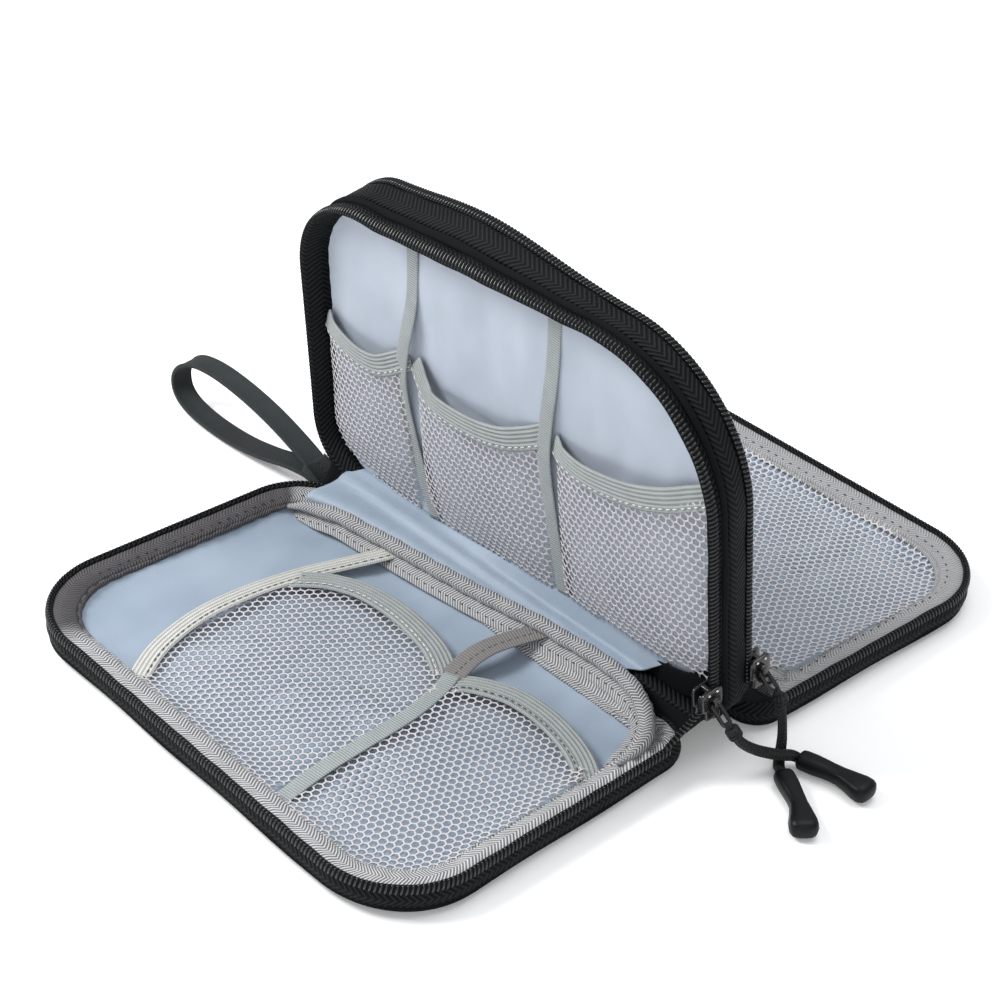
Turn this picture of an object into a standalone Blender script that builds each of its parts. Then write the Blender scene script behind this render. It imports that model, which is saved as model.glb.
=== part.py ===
"""Double-compartment cable organizer pouch, open: a standing middle with a cover lying flat on each side.

World frame: metres, +Z up, X along the hinges (the wrist strap is at -X, the zip pulls at +X).
The front cover lies towards -Y and the back cover towards +Y, both on the ground at z = 0.
"""

import math

import bmesh
import bpy

MM = 0.001

# Driving dimensions
POUCH_WIDTH = 190 * MM          # zip to zip, along X
POUCH_HEIGHT = 120 * MM         # hinge to far zip
COVER_DEPTH = 13 * MM           # ground to the hinge axis
MIDDLE_THICKNESS = 20 * MM      # front zip plane to back zip plane
MIDDLE_LEAN = math.radians(7)   # the middle leans towards the front cover
COVER_CORNER = 30 * MM          # far corners of a cover
TOP_CORNER_PULL_SIDE = 42 * MM  # upper corners of the middle
TOP_CORNER_STRAP_SIDE = 36 * MM
HINGE_CORNER_PULL_SIDE = 10 * MM
HINGE_CORNER_STRAP_SIDE = 22 * MM
POUCH_CENTRE_X = 34.2 * MM      # puts the world origin under the middle of the whole outline

GAP = 0.3 * MM
WALL = 1.2 * MM
PANEL = 2.4 * MM
LINING = 0.9 * MM
NETTING = 0.6 * MM
POCKET_SPACE = 4.4 * MM         # room under the netting
CHAIN_WIDTH = 1.8 * MM          # zip chain, across the wall
CHAIN_DEPTH = 2.0 * MM
CHAIN_BACK = 0.8 * MM           # each chain stops short of the hinge plane
PIPING_PROUD = 1.2 * MM
ELASTIC_WIDTH = 9 * MM
ELASTIC_THICKNESS = 0.8 * MM
RIBBON_WIDTH = 5.5 * MM
RIBBON_THICKNESS = 0.7 * MM
COVER_START = 1.5 * MM          # the cover's hinge side stands this far from the hinge axis
PANEL_BEVEL = 1.8 * MM

# Where the pockets meet, measured from the pouch's centre line
MIDDLE_RIBBONS_X = (-42 * MM, 24 * MM)
COVER_RIBBON_X = 24 * MM
POCKET_MOUTH = 61 * MM          # netting height in the middle
COVER_MOUTH = 40 * MM           # hinge to the cover pockets' mouths
BACK_MOUTH = 30 * MM

# Zip sliders and pulls
SLIDER_REST = 14.5 * MM           # slider centre above the hinge
SLIDER_LENGTH = 11 * MM
SLIDER_HALF_WIDTH = 4 * MM
SLIDER_PLATE = 1.1 * MM
SLIDER_SLOT = 2.8 * MM          # between the two plates
PULL_PIVOT_OUT = 3.9 * MM       # pull pivot, out from the chain line
PULL_TAB_DOWN = math.radians(42)
CORD_RADIUS = 1.5 * MM

# Wrist strap
STRAP_WIDTH = 8 * MM
STRAP_PIVOT = (-97.2 * MM, -8 * MM, 18.2 * MM)
STRAP_TAB_ANGLE = math.radians(225)   # where the tab sits on the middle's hinge corner
STRAP_TAB = (1.8 * MM, 8 * MM, 9 * MM)

HALF_WIDTH = POUCH_WIDTH / 2
HALF_MIDDLE = MIDDLE_THICKNESS / 2
GROUND = -COVER_DEPTH           # in a cover's frame, whose origin is on the hinge axis
FLOOR = GROUND + PANEL + GAP    # underside of a cover's lining
COVER_POCKET_LOW = FLOOR + LINING + GAP
COVER_POCKET_HIGH = COVER_POCKET_LOW + POCKET_SPACE + NETTING
LINING_FACE = 1.5 * MM          # middle lining, out from the board's centre plane
MIDDLE_POCKET_LOW = LINING_FACE + GAP
MIDDLE_POCKET_HIGH = MIDDLE_POCKET_LOW + POCKET_SPACE + NETTING

COLOURS = {
    "black_fabric": ((0.012, 0.013, 0.015), 0.85, 0.0),
    "black_tape": ((0.02, 0.021, 0.023), 0.8, 0.0),
    "black_chain": ((0.015, 0.015, 0.017), 0.35, 0.0),
    "blue_lining": ((0.52, 0.58, 0.67), 0.45, 0.0),
    "white_netting": ((0.72, 0.71, 0.72), 0.7, 0.0),
    "grey_elastic": ((0.42, 0.45, 0.44), 0.75, 0.0),
    "pale_elastic": ((0.6, 0.59, 0.56), 0.75, 0.0),
    "grey_ribbon": ((0.38, 0.4, 0.4), 0.7, 0.0),
    "grey_binding": ((0.5, 0.5, 0.51), 0.75, 0.0),
    "black_metal": ((0.02, 0.02, 0.022), 0.3, 0.9),
    "black_cord": ((0.02, 0.021, 0.022), 0.8, 0.0),
    "grip_rubber": ((0.03, 0.032, 0.034), 0.5, 0.0),
    "strap_webbing": ((0.03, 0.033, 0.034), 0.85, 0.0),
}


def clear_scene():
    for obj in list(bpy.data.objects):
        bpy.data.objects.remove(obj, do_unlink=True)


def new_collection(name):
    collection = bpy.data.collections.new(name)
    bpy.context.scene.collection.children.link(collection)
    return collection


def make_materials():
    made = {}
    for name, (colour, roughness, metallic) in COLOURS.items():
        material = bpy.data.materials.new(name)
        material.use_nodes = True
        shader = material.node_tree.nodes["Principled BSDF"]
        shader.inputs["Base Color"].default_value = (*colour, 1)
        shader.inputs["Roughness"].default_value = roughness
        shader.inputs["Metallic"].default_value = metallic
        material.diffuse_color = (*colour, 1)
        made[name] = material
    return made


def add_frame(name, location, tilt=0.0):
    """An empty that stands for a local frame of the pouch."""
    frame = bpy.data.objects.new(name, None)
    frame.location = location
    frame.rotation_euler = (tilt, 0, 0)
    parts.objects.link(frame)
    return frame


def cover_frame(name, side, turn):
    """A cover's frame, under an empty on the axis about which this turn closes the cover onto the middle."""
    open_y = side * HALF_MIDDLE
    shift_y = open_y * math.cos(MIDDLE_LEAN) - open_y
    shift_z = open_y * math.sin(MIDDLE_LEAN)
    reach = 1 / math.tan(turn / 2)
    axis_y = (shift_y - reach * shift_z) / 2
    axis_z = (shift_z + reach * shift_y) / 2
    hinge = add_frame(name + "_hinge", (POUCH_CENTRE_X, open_y + axis_y, COVER_DEPTH + axis_z))
    frame = add_frame(name + "_cover_frame", (0, -axis_y, -axis_z))
    frame.parent = hinge
    return frame


def place(obj, name, parent, material):
    obj.name = name
    obj.parent = parent
    obj.data.materials.append(materials[material])
    parts.objects.link(obj)
    return obj


# ---------------------------------------------------------------- outlines

def arc(centre_x, centre_v, radius, start_deg, end_deg, steps=7):
    points = []
    for step in range(steps + 1):
        angle = math.radians(start_deg + (end_deg - start_deg) * step / steps)
        points.append((centre_x + radius * math.cos(angle), centre_v + radius * math.sin(angle)))
    return points


def rounded(near, far, inset, radii):
    """Closed outline, anticlockwise. v is the distance from the hinge. radii: far +X, far -X, near -X, near +X."""
    half = HALF_WIDTH - inset
    low = near + inset
    high = far - inset
    far_right, far_left, near_left, near_right = [max(radius - inset, 1 * MM) for radius in radii]
    points = arc(half - far_right, high - far_right, far_right, 0, 90)
    points += arc(-half + far_left, high - far_left, far_left, 90, 180)
    points += arc(-half + near_left, low + near_left, near_left, 180, 270)
    points += arc(half - near_right, low + near_right, near_right, 270, 360)
    return points


def cover_outline(inset):
    radii = (COVER_CORNER, COVER_CORNER, HINGE_CORNER_STRAP_SIDE, HINGE_CORNER_PULL_SIDE)
    return rounded(COVER_START, POUCH_HEIGHT, inset, radii)


def middle_outline(inset):
    radii = (TOP_CORNER_PULL_SIDE, TOP_CORNER_STRAP_SIDE, HINGE_CORNER_STRAP_SIDE, HINGE_CORNER_PULL_SIDE)
    return rounded(0, POUCH_HEIGHT, inset, radii)


def clip(points, axis, limit, keep_above):
    """The part of an outline on one side of the line where coordinate number axis equals limit."""
    kept = []
    sign = 1 if keep_above else -1
    for index, point in enumerate(points):
        before = points[index - 1]
        inside = sign * (point[axis] - limit) >= 0
        was_inside = sign * (before[axis] - limit) >= 0
        if inside != was_inside:
            share = (limit - before[axis]) / (point[axis] - before[axis])
            kept.append(tuple(before[k] + share * (point[k] - before[k]) for k in (0, 1)))
        if inside:
            kept.append(point)
    return kept


def window(outline, left, right, near, far):
    points = clip(outline, 0, left, True)
    points = clip(points, 0, right, False)
    points = clip(points, 1, near, True)
    return clip(points, 1, far, False)


def smooth_path(points, steps=4):
    """A Catmull-Rom curve through the given points."""
    ends = [points[0]] + list(points) + [points[-1]]
    made = []
    for index in range(1, len(ends) - 2):
        p0, p1, p2, p3 = ends[index - 1:index + 3]
        for step in range(steps):
            t = step / steps
            made.append(tuple(
                0.5 * (2 * b + (c - a) * t + (2 * a - 5 * b + 4 * c - d) * t * t + (3 * b - a - 3 * c + d) * t ** 3)
                for a, b, c, d in zip(p0, p1, p2, p3)
            ))
    made.append(tuple(points[-1]))
    return made


def band_outline(path, width):
    """The outline of a flat band of this width along a path in the plane."""
    left = []
    right = []
    for index, point in enumerate(path):
        before = path[max(index - 1, 0)]
        after = path[min(index + 1, len(path) - 1)]
        along = (after[0] - before[0], after[1] - before[1])
        length = math.hypot(*along)
        normal = (-along[1] / length, along[0] / length)
        left.append((point[0] + normal[0] * width / 2, point[1] + normal[1] * width / 2))
        right.append((point[0] - normal[0] * width / 2, point[1] - normal[1] * width / 2))
    return left + right[::-1]


def chain_outline(outline_of, start_left, start_right):
    """A zip chain: a band along the outline, open at the hinge side between two heights."""
    outer = outline_of(-CHAIN_WIDTH / 2)
    inner = outline_of(CHAIN_WIDTH / 2)
    return open_loop(outer, start_left, start_right) + open_loop(inner, start_left, start_right)[::-1]


def open_loop(outline, start_left, start_right):
    """The outline from the pull side round the far side to the strap side, without the hinge side."""
    kept = []
    for point in outline:
        start = start_right if point[0] > 0 else start_left
        if point[1] >= start:
            kept.append(point)
    low_right = [point for point in kept if point[0] > 0]
    first = min(low_right, key=lambda point: (point[1], -point[0]))
    turn = kept.index(first)
    return kept[turn:] + kept[:turn]


# ---------------------------------------------------------------- solids

def plate(name, loops, low, high, frame, material, side=1, upright=False, bevel=0.0):
    """A flat outline with any holes, extruded from low to high.

    Lying down it is extruded along Z, and side = -1 puts it towards -Y. Upright it stands in the XZ plane, and low
    and high are distances along Y.
    """
    curve = bpy.data.curves.new(name, "CURVE")
    curve.dimensions = "2D"
    curve.fill_mode = "BOTH"
    curve.extrude = (high - low) / 2
    for loop in loops:
        spline = curve.splines.new("POLY")
        spline.points.add(len(loop) - 1)
        for control, (x, v) in zip(spline.points, loop):
            control.co = (x, side * v, 0, 1)
        spline.use_cyclic_u = True
    obj = bpy.data.objects.new(name, curve)
    if upright:
        obj.rotation_euler = (math.pi / 2, 0, 0)
        obj.location = (0, (low + high) / 2, 0)
    else:
        obj.location = (0, 0, (low + high) / 2)
    if bevel:
        weld = obj.modifiers.new("Weld", "WELD")
        weld.merge_threshold = 0.00001
        rounding = obj.modifiers.new("Bevel", "BEVEL")
        rounding.width = bevel
        rounding.segments = 2
        rounding.limit_method = "ANGLE"
        rounding.angle_limit = math.radians(60)
    return place(obj, name, frame, material)


def pocket(name, points, mouths, low, high, frame, material, side=1, upright=0):
    """Netting over a space: a top sheet with a skirt on every edge except the mouths.

    A mouth is (coordinate number, value). upright is the direction of the pocket along Y, -1 or 1, or 0 for a pocket
    lying in a cover.
    """
    mesh = bpy.data.meshes.new(name)
    shape = bmesh.new()

    def spot(x, v, level):
        if upright:
            return (x, upright * level, v)
        return (x, side * v, level)

    top = [shape.verts.new(spot(x, v, high)) for x, v in points]
    foot = [shape.verts.new(spot(x, v, low)) for x, v in points]
    shape.faces.new(top)
    used = set()
    count = len(points)
    for index in range(count):
        after = (index + 1) % count
        a, b = points[index], points[after]
        on_mouth = any(abs(a[k] - value) < 1e-7 and abs(b[k] - value) < 1e-7 for k, value in mouths)
        if not on_mouth:
            shape.faces.new((top[index], foot[index], foot[after], top[after]))
            used.update((foot[index], foot[after]))
    for vertex in foot:
        if vertex not in used:
            shape.verts.remove(vertex)
    bmesh.ops.recalc_face_normals(shape, faces=shape.faces)
    centre = sum((face.calc_center_median() for face in shape.faces), start=shape.faces[0].normal * 0)
    centre /= len(shape.faces)
    sheet = max(shape.faces, key=lambda face: face.calc_area())
    if sheet.normal.dot(sheet.calc_center_median() - centre) < 0:
        bmesh.ops.reverse_faces(shape, faces=shape.faces)
    shape.to_mesh(mesh)
    shape.free()
    obj = bpy.data.objects.new(name, mesh)
    thicken = obj.modifiers.new("Solidify", "SOLIDIFY")
    thicken.thickness = NETTING
    thicken.offset = -1
    thicken.use_even_offset = True
    return place(obj, name, frame, material)


def block(name, centre, size, frame, material, rotation=(0, 0, 0)):
    mesh = bpy.data.meshes.new(name)
    shape = bmesh.new()
    bmesh.ops.create_cube(shape, size=1)
    bmesh.ops.scale(shape, vec=size, verts=shape.verts)
    shape.to_mesh(mesh)
    shape.free()
    obj = bpy.data.objects.new(name, mesh)
    obj.location = centre
    obj.rotation_euler = rotation
    return place(obj, name, frame, material)


def union(base, others):
    """Joins solids that overlap into one object."""
    for other in others:
        parts.objects.unlink(other)
        cutters.objects.link(other)
        other.hide_render = True
        other.display_type = "WIRE"
        joined = base.modifiers.new("Join", "BOOLEAN")
        joined.operation = "UNION"
        joined.object = other
    return base


def round_cord(name, route, radius, material):
    curve = bpy.data.curves.new(name, "CURVE")
    curve.dimensions = "3D"
    curve.bevel_depth = radius
    curve.bevel_resolution = 2
    curve.use_fill_caps = True
    points = smooth_path(route)
    spline = curve.splines.new("POLY")
    spline.points.add(len(points) - 1)
    for control, point in zip(spline.points, points):
        control.co = (*point, 1)
    obj = bpy.data.objects.new(name, curve)
    return place(obj, name, None, material)


# ---------------------------------------------------------------- covers

def cover_shell(prefix, frame, side):
    """Stiff outer panel, zip-tape wall, zip chain, lining, binding and hinge tape."""
    top_of_wall = -CHAIN_BACK - CHAIN_DEPTH - GAP
    panel = [cover_outline(-WALL / 2)]
    plate(prefix + "_panel", panel, GROUND, GROUND + PANEL, frame, "black_fabric", side, bevel=PANEL_BEVEL / 2)
    wall = [cover_outline(-WALL / 2), cover_outline(WALL / 2)]
    plate(prefix + "_wall", wall, FLOOR, top_of_wall, frame, "black_tape", side)
    chain = [chain_outline(cover_outline, 6 * MM, 6 * MM)]
    plate(prefix + "_zip_chain", chain, -CHAIN_BACK - CHAIN_DEPTH, -CHAIN_BACK, frame, "black_chain", side)
    lining = [cover_outline(WALL / 2 + GAP)]
    plate(prefix + "_lining", lining, FLOOR, FLOOR + LINING, frame, "blue_lining", side)
    binding = [cover_outline(WALL / 2 + GAP), cover_outline(WALL / 2 + GAP + 1 * MM)]
    plate(prefix + "_binding", binding, COVER_POCKET_LOW, COVER_POCKET_LOW + 4.4 * MM, frame, "grey_binding", side)
    tape = [window(cover_outline(-WALL / 2), -72 * MM, 84 * MM, 0, 6.5 * MM)]
    plate(prefix + "_hinge_tape", tape, top_of_wall + GAP, -0.6 * MM, frame, "grey_binding", side)


def front_cover(frame):
    cover_shell("front_cover", frame, -1)
    inside = cover_outline(5.5 * MM)
    ribbon_low = COVER_RIBBON_X - RIBBON_WIDTH / 2
    ribbon_high = COVER_RIBBON_X + RIBBON_WIDTH / 2
    strip = [window(inside, ribbon_low, ribbon_high, 8 * MM, POUCH_HEIGHT)]
    plate("front_cover_ribbon", strip, COVER_POCKET_LOW, COVER_POCKET_LOW + RIBBON_THICKNESS, frame,
          "grey_ribbon", -1)
    wide_left = -53 * MM
    wide = window(inside, wide_left, ribbon_low - GAP, COVER_MOUTH, POUCH_HEIGHT)
    pocket("front_cover_wide_pocket", wide, [(0, wide_left), (1, COVER_MOUTH)], COVER_POCKET_LOW,
           COVER_POCKET_HIGH, frame, "white_netting", -1)
    corner = window(inside, ribbon_high + GAP, HALF_WIDTH, COVER_MOUTH, POUCH_HEIGHT)
    pocket("front_cover_corner_pocket", corner, [(1, COVER_MOUTH)], COVER_POCKET_LOW,
           COVER_POCKET_HIGH, frame, "white_netting", -1)
    low = COVER_POCKET_HIGH + GAP
    high = low + ELASTIC_THICKNESS
    across = [(-41, 9), (-52, 20), (-58, 37), (-59, 60), (-55, 85), (-42, 108)]
    band("front_cover_long_elastic", across, low, high, frame, "pale_elastic", -1)
    wide_band = [(-46, 38), (-30, 29.5), (-10, 27), (8, 30), (19, 37)]
    band("front_cover_wide_elastic", wide_band, low, high, frame, "grey_elastic", -1)
    corner_band = [(28, 37), (40, 29.5), (56, 27.5), (70, 31), (84, 38)]
    band("front_cover_corner_elastic", corner_band, low, high, frame, "grey_elastic", -1)


def band(name, path_mm, low, high, frame, material, side=1, upright=False):
    """An elastic band along a smooth path, given in millimetres."""
    path = smooth_path([(x * MM, v * MM) for x, v in path_mm])
    return plate(name, [band_outline(path, ELASTIC_WIDTH)], low, high, frame, material, side, upright)


def back_cover(frame):
    cover_shell("back_cover", frame, 1)
    inside = cover_outline(5.5 * MM)
    full = window(inside, -HALF_WIDTH, HALF_WIDTH, BACK_MOUTH, POUCH_HEIGHT)
    pocket("back_cover_pocket", full, [(1, BACK_MOUTH)], COVER_POCKET_LOW, COVER_POCKET_HIGH, frame,
           "white_netting", 1)
    low = COVER_POCKET_HIGH + GAP
    path = [(-85, 26), (-45, 22), (0, 20.5), (45, 22), (85, 26)]
    band("back_cover_elastic", path, low, low + ELASTIC_THICKNESS, frame, "grey_elastic", 1)


# ---------------------------------------------------------------- middle

def middle_shell(frame):
    """Board, piping and, on each side, a lining, a wall and a zip chain."""
    piping_half = 1 * MM
    plate("partition_board", [middle_outline(2.4 * MM)], -0.6 * MM, 0.6 * MM, frame, "black_fabric", upright=True)
    piping = [middle_outline(-PIPING_PROUD - WALL / 2), middle_outline(WALL / 2)]
    plate("seam_piping", piping, -piping_half, piping_half, frame, "black_fabric", upright=True)
    wall = [middle_outline(-WALL / 2), middle_outline(WALL / 2)]
    chain = [chain_outline(middle_outline, 6 * MM, 6 * MM)]
    chain_low = HALF_MIDDLE - CHAIN_BACK - CHAIN_DEPTH
    for prefix, sign in (("middle_front", -1), ("middle_back", 1)):
        for suffix, loops, near, far, material in (
            ("_lining", [middle_outline(2.4 * MM)], 0.6 * MM + GAP, LINING_FACE, "blue_lining"),
            ("_wall", wall, piping_half + GAP, chain_low - GAP, "black_tape"),
            ("_zip_chain", chain, chain_low, chain_low + CHAIN_DEPTH, "black_chain"),
        ):
            low, high = sorted((sign * near, sign * far))
            plate(prefix + suffix, loops, low, high, frame, material, upright=True)


def middle_ribbons(frame):
    inside = middle_outline(6 * MM)
    low = -LINING_FACE - GAP - RIBBON_THICKNESS
    high = -LINING_FACE - GAP
    for name, x in zip(("middle_ribbon_strap_side", "middle_ribbon_pull_side"), MIDDLE_RIBBONS_X):
        strip = window(inside, x - RIBBON_WIDTH / 2, x + RIBBON_WIDTH / 2, 0, POUCH_HEIGHT)
        plate(name, [strip], low, high, frame, "grey_ribbon", upright=True)


def middle_front_pockets(frame):
    inside = middle_outline(6 * MM)
    reach = RIBBON_WIDTH / 2 + GAP
    left, right = MIDDLE_RIBBONS_X
    spans = (
        ("strap_side", -HALF_WIDTH, left - reach, [(-84, 66), (-66, 62.5), (-49.5, 66.5)]),
        ("centre", left + reach, right - reach, [(-36, 67), (-24, 62), (-6, 60.5), (10, 63.5), (18, 67.5)]),
        ("pull_side", right + reach, HALF_WIDTH, [(30, 67.5), (44, 64.5), (62, 66), (84, 72)]),
    )
    low = -MIDDLE_POCKET_HIGH - GAP - ELASTIC_THICKNESS
    high = -MIDDLE_POCKET_HIGH - GAP
    for suffix, near_x, far_x, path in spans:
        points = window(inside, near_x, far_x, 0, POCKET_MOUTH)
        pocket("middle_pocket_" + suffix, points, [(1, POCKET_MOUTH)], MIDDLE_POCKET_LOW, MIDDLE_POCKET_HIGH,
               frame, "white_netting", upright=-1)
        band("middle_elastic_" + suffix, path, low, high, frame, "grey_elastic", upright=True)


def middle_back_pockets(frame):
    inside = middle_outline(6 * MM)
    reach = RIBBON_WIDTH / 2 + GAP
    strip = window(inside, -RIBBON_WIDTH / 2, RIBBON_WIDTH / 2, 0, POUCH_HEIGHT)
    plate("middle_back_ribbon", [strip], LINING_FACE + GAP, LINING_FACE + GAP + RIBBON_THICKNESS, frame,
          "grey_ribbon", upright=True)
    low = MIDDLE_POCKET_HIGH + GAP
    spans = (
        ("strap_side", -HALF_WIDTH, -reach, [(-84, 68), (-64, 64), (-30, 64), (-8, 67)]),
        ("pull_side", reach, HALF_WIDTH, [(8, 67), (30, 64), (64, 64), (84, 68)]),
    )
    for suffix, near_x, far_x, path in spans:
        points = window(inside, near_x, far_x, 0, POCKET_MOUTH)
        pocket("middle_back_pocket_" + suffix, points, [(1, POCKET_MOUTH)], MIDDLE_POCKET_LOW,
               MIDDLE_POCKET_HIGH, frame, "white_netting", upright=1)
        band("middle_back_elastic_" + suffix, path, low, low + ELASTIC_THICKNESS, frame, "grey_elastic",
             upright=True)


# ---------------------------------------------------------------- zips

def slider(name, frame, plane_y):
    """Two plates joined by a bridge that runs between the chains, with a lug for the pull."""
    offset = (SLIDER_SLOT + SLIDER_PLATE) / 2
    plate_size = (SLIDER_PLATE, 2 * SLIDER_HALF_WIDTH, SLIDER_LENGTH)
    outer = block(name, (HALF_WIDTH + offset, plane_y, SLIDER_REST), plate_size, frame, "black_metal")
    inner = block(name + "_inner_plate", (HALF_WIDTH - offset, plane_y, SLIDER_REST), plate_size, frame,
                  "black_metal")
    bridge_size = (SLIDER_SLOT + 0.6 * MM, 0.9 * MM, 4 * MM)
    bridge = block(name + "_bridge", (HALF_WIDTH, plane_y, SLIDER_REST + 3.5 * MM), bridge_size, frame,
                   "black_metal")
    lug_size = (PULL_PIVOT_OUT - SLIDER_SLOT / 2 + 0.2 * MM, 1.5 * MM, 3.4 * MM)
    lug_x = HALF_WIDTH + SLIDER_SLOT / 2 + lug_size[0] / 2 + 0.4 * MM
    lug = block(name + "_lug", (lug_x, plane_y, SLIDER_REST), lug_size, frame, "black_metal")
    return union(outer, [inner, bridge, lug])


def pull_tab(name, frame, plane_y):
    """A fork that swings on the slider's lug: two ears and a tongue that the cord is tied to."""
    pivot = add_frame(name + "_pivot", (HALF_WIDTH + PULL_PIVOT_OUT, plane_y, SLIDER_REST))
    pivot.parent = frame
    pivot.rotation_euler = (0, PULL_TAB_DOWN, 0)
    ear_y = 1.55 * MM
    tongue = block(name, (5.0 * MM, 0, 0), (3.0 * MM, 4 * MM, 1.2 * MM), pivot, "black_metal")
    ears = []
    for index, sign in enumerate((-1, 1)):
        ear = block(f"{name}_ear_{index}", (1.6 * MM, sign * ear_y, 0), (5 * MM, 0.9 * MM, 1.2 * MM), pivot,
                    "black_metal")
        ears.append(ear)
    return union(tongue, ears)


def grip(name, start, end):
    """A waisted grip: a turned profile laid from start to end."""
    length = math.dist(start, end)
    radii = (2.4, 3.1, 3.2, 3.0, 2.5, 2.3, 2.6, 3.1, 3.3, 2.9, 1.6)
    mesh = bpy.data.meshes.new(name)
    shape = bmesh.new()
    before = shape.verts.new((0, 0, length))
    for index, radius in enumerate(reversed(radii)):
        height = length * (1 - index / (len(radii) - 1))
        spot = shape.verts.new((radius * MM, 0, height - (0.4 * MM if index == 0 else 0)))
        shape.edges.new((before, spot))
        before = spot
    foot = shape.verts.new((0, 0, 0))
    shape.edges.new((before, foot))
    shape.to_mesh(mesh)
    shape.free()
    obj = bpy.data.objects.new(name, mesh)
    turn = obj.modifiers.new("Screw", "SCREW")
    turn.steps = 12
    turn.render_steps = 12
    turn.use_merge_vertices = True
    turn.merge_threshold = 0.00005
    heading = math.atan2(end[1] - start[1], end[0] - start[0])
    obj.location = start
    obj.rotation_euler = (0, math.pi / 2, heading)
    return place(obj, name, None, "grip_rubber")


def pull(prefix, frame, plane_y, route_mm, grip_start_mm, grip_end_mm):
    """Tab, cord and grip of one zip. The route is in millimetres from the pouch's centre, on the ground."""
    pull_tab(prefix + "_pull_tab", frame, plane_y)

    def world(point):
        return (point[0] * MM + POUCH_CENTRE_X, point[1] * MM, point[2] * MM)

    round_cord(prefix + "_pull_cord", [world(point) for point in route_mm], CORD_RADIUS, "black_cord")
    grip(prefix + "_pull_grip", world(grip_start_mm), world(grip_end_mm))


# ---------------------------------------------------------------- wrist strap

def strap_anchor(frame):
    """The folded tab that is sewn to the hinge corner of the middle."""
    radius = HINGE_CORNER_STRAP_SIDE + WALL / 2 + PIPING_PROUD + GAP + STRAP_TAB[0] / 2
    centre_x = -HALF_WIDTH + HINGE_CORNER_STRAP_SIDE + radius * math.cos(STRAP_TAB_ANGLE)
    centre_z = HINGE_CORNER_STRAP_SIDE + radius * math.sin(STRAP_TAB_ANGLE)
    centre = (centre_x, -5.6 * MM, centre_z)
    block("strap_anchor", centre, STRAP_TAB, frame, "strap_webbing", (0, -STRAP_TAB_ANGLE, 0))


def wrist_strap():
    """A loop of webbing sewn together at its root, which is round the hinge axis."""
    outer = smooth_closed([
        (1.9, 0), (0, 2.1), (-14, 3.4), (-30, 4.2), (-46, 3.6), (-60, 1.6), (-71, -2.5), (-75.3, -7.5),
        (-71.5, -12), (-58, -13.2), (-42, -12.9), (-26, -11.4), (-12, -7), (-1, -1.9),
    ])
    inner = smooth_closed([
        (-9, -1.4), (-16, 1.6), (-30, 2.8), (-46, 2.2), (-60, 0.2), (-70, -3.6), (-73.7, -7.6),
        (-70.4, -10.6), (-58, -11.8), (-42, -11.5), (-26, -10), (-14, -5.4),
    ])
    half = STRAP_WIDTH / 2
    loop = plate("wrist_strap", [outer, inner], -half, half, None, "strap_webbing", upright=True)
    loop.location = (POUCH_CENTRE_X + STRAP_PIVOT[0], STRAP_PIVOT[1], STRAP_PIVOT[2])


def smooth_closed(points_mm):
    """A closed Catmull-Rom curve through points in millimetres."""
    count = len(points_mm)
    wrapped = [points_mm[index % count] for index in range(-1, count + 2)]
    made = smooth_path(wrapped)
    steps = (len(made) - 1) // (len(wrapped) - 1)
    return [(x * MM, z * MM) for x, z in made[steps:steps * (count + 1)]]


clear_scene()
parts = new_collection("cable_organizer_pouch")
cutters = new_collection("cutters")
cutters.hide_render = True
materials = make_materials()

middle_frame = add_frame("middle_frame", (POUCH_CENTRE_X, 0, COVER_DEPTH), MIDDLE_LEAN)
front_frame = cover_frame("front", -1, MIDDLE_LEAN - math.pi / 2)
back_frame = cover_frame("back", 1, MIDDLE_LEAN + math.pi / 2)

middle_shell(middle_frame)
middle_ribbons(middle_frame)
middle_front_pockets(middle_frame)
middle_back_pockets(middle_frame)
strap_anchor(middle_frame)
front_cover(front_frame)
back_cover(back_frame)
slider("front_slider", middle_frame, -HALF_MIDDLE)
slider("back_slider", middle_frame, HALF_MIDDLE)
pull("front", middle_frame, -HALF_MIDDLE,
     [(105.1, -11.2, 21.6), (106.4, -8, 16), (107.7, -3, 11.5), (109.4, 2.5, 8.2), (110.7, 6.8, 6.2),
      (111, 9.6, 4.9), (111.5, 11.4, 3.9), (112.55, 11.84, 3.6)],
     (112.9, 11.9, 3.6), (137.5, 16.2, 3.6))
pull("back", middle_frame, HALF_MIDDLE,
     [(105.1, 8.8, 24), (106, 10.1, 16), (106.8, 10.3, 8), (107.9, 8.9, 3), (109.8, 6.6, 1.8),
      (111.8, 5, 2.3), (113.1, 3.85, 3.3), (114.2, 3.09, 3.6)],
     (114.5, 2.9, 3.6), (137, -11.6, 3.6))
wrist_strap()
bpy.context.view_layer.update()
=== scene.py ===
"""Visual model of the open cable organizer pouch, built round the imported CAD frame.

Lengths are millimetres. Each half of the pouch has a local frame (x, v, d): x along the hinge from the pouch's
centre, v away from the hinge, d out of the half's back towards its zip.
"""
from math import copysign, cos, hypot, pi, radians, sin, sqrt

import bmesh
import bpy
import numpy as np
from mathutils import Matrix, Vector, noise


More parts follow.
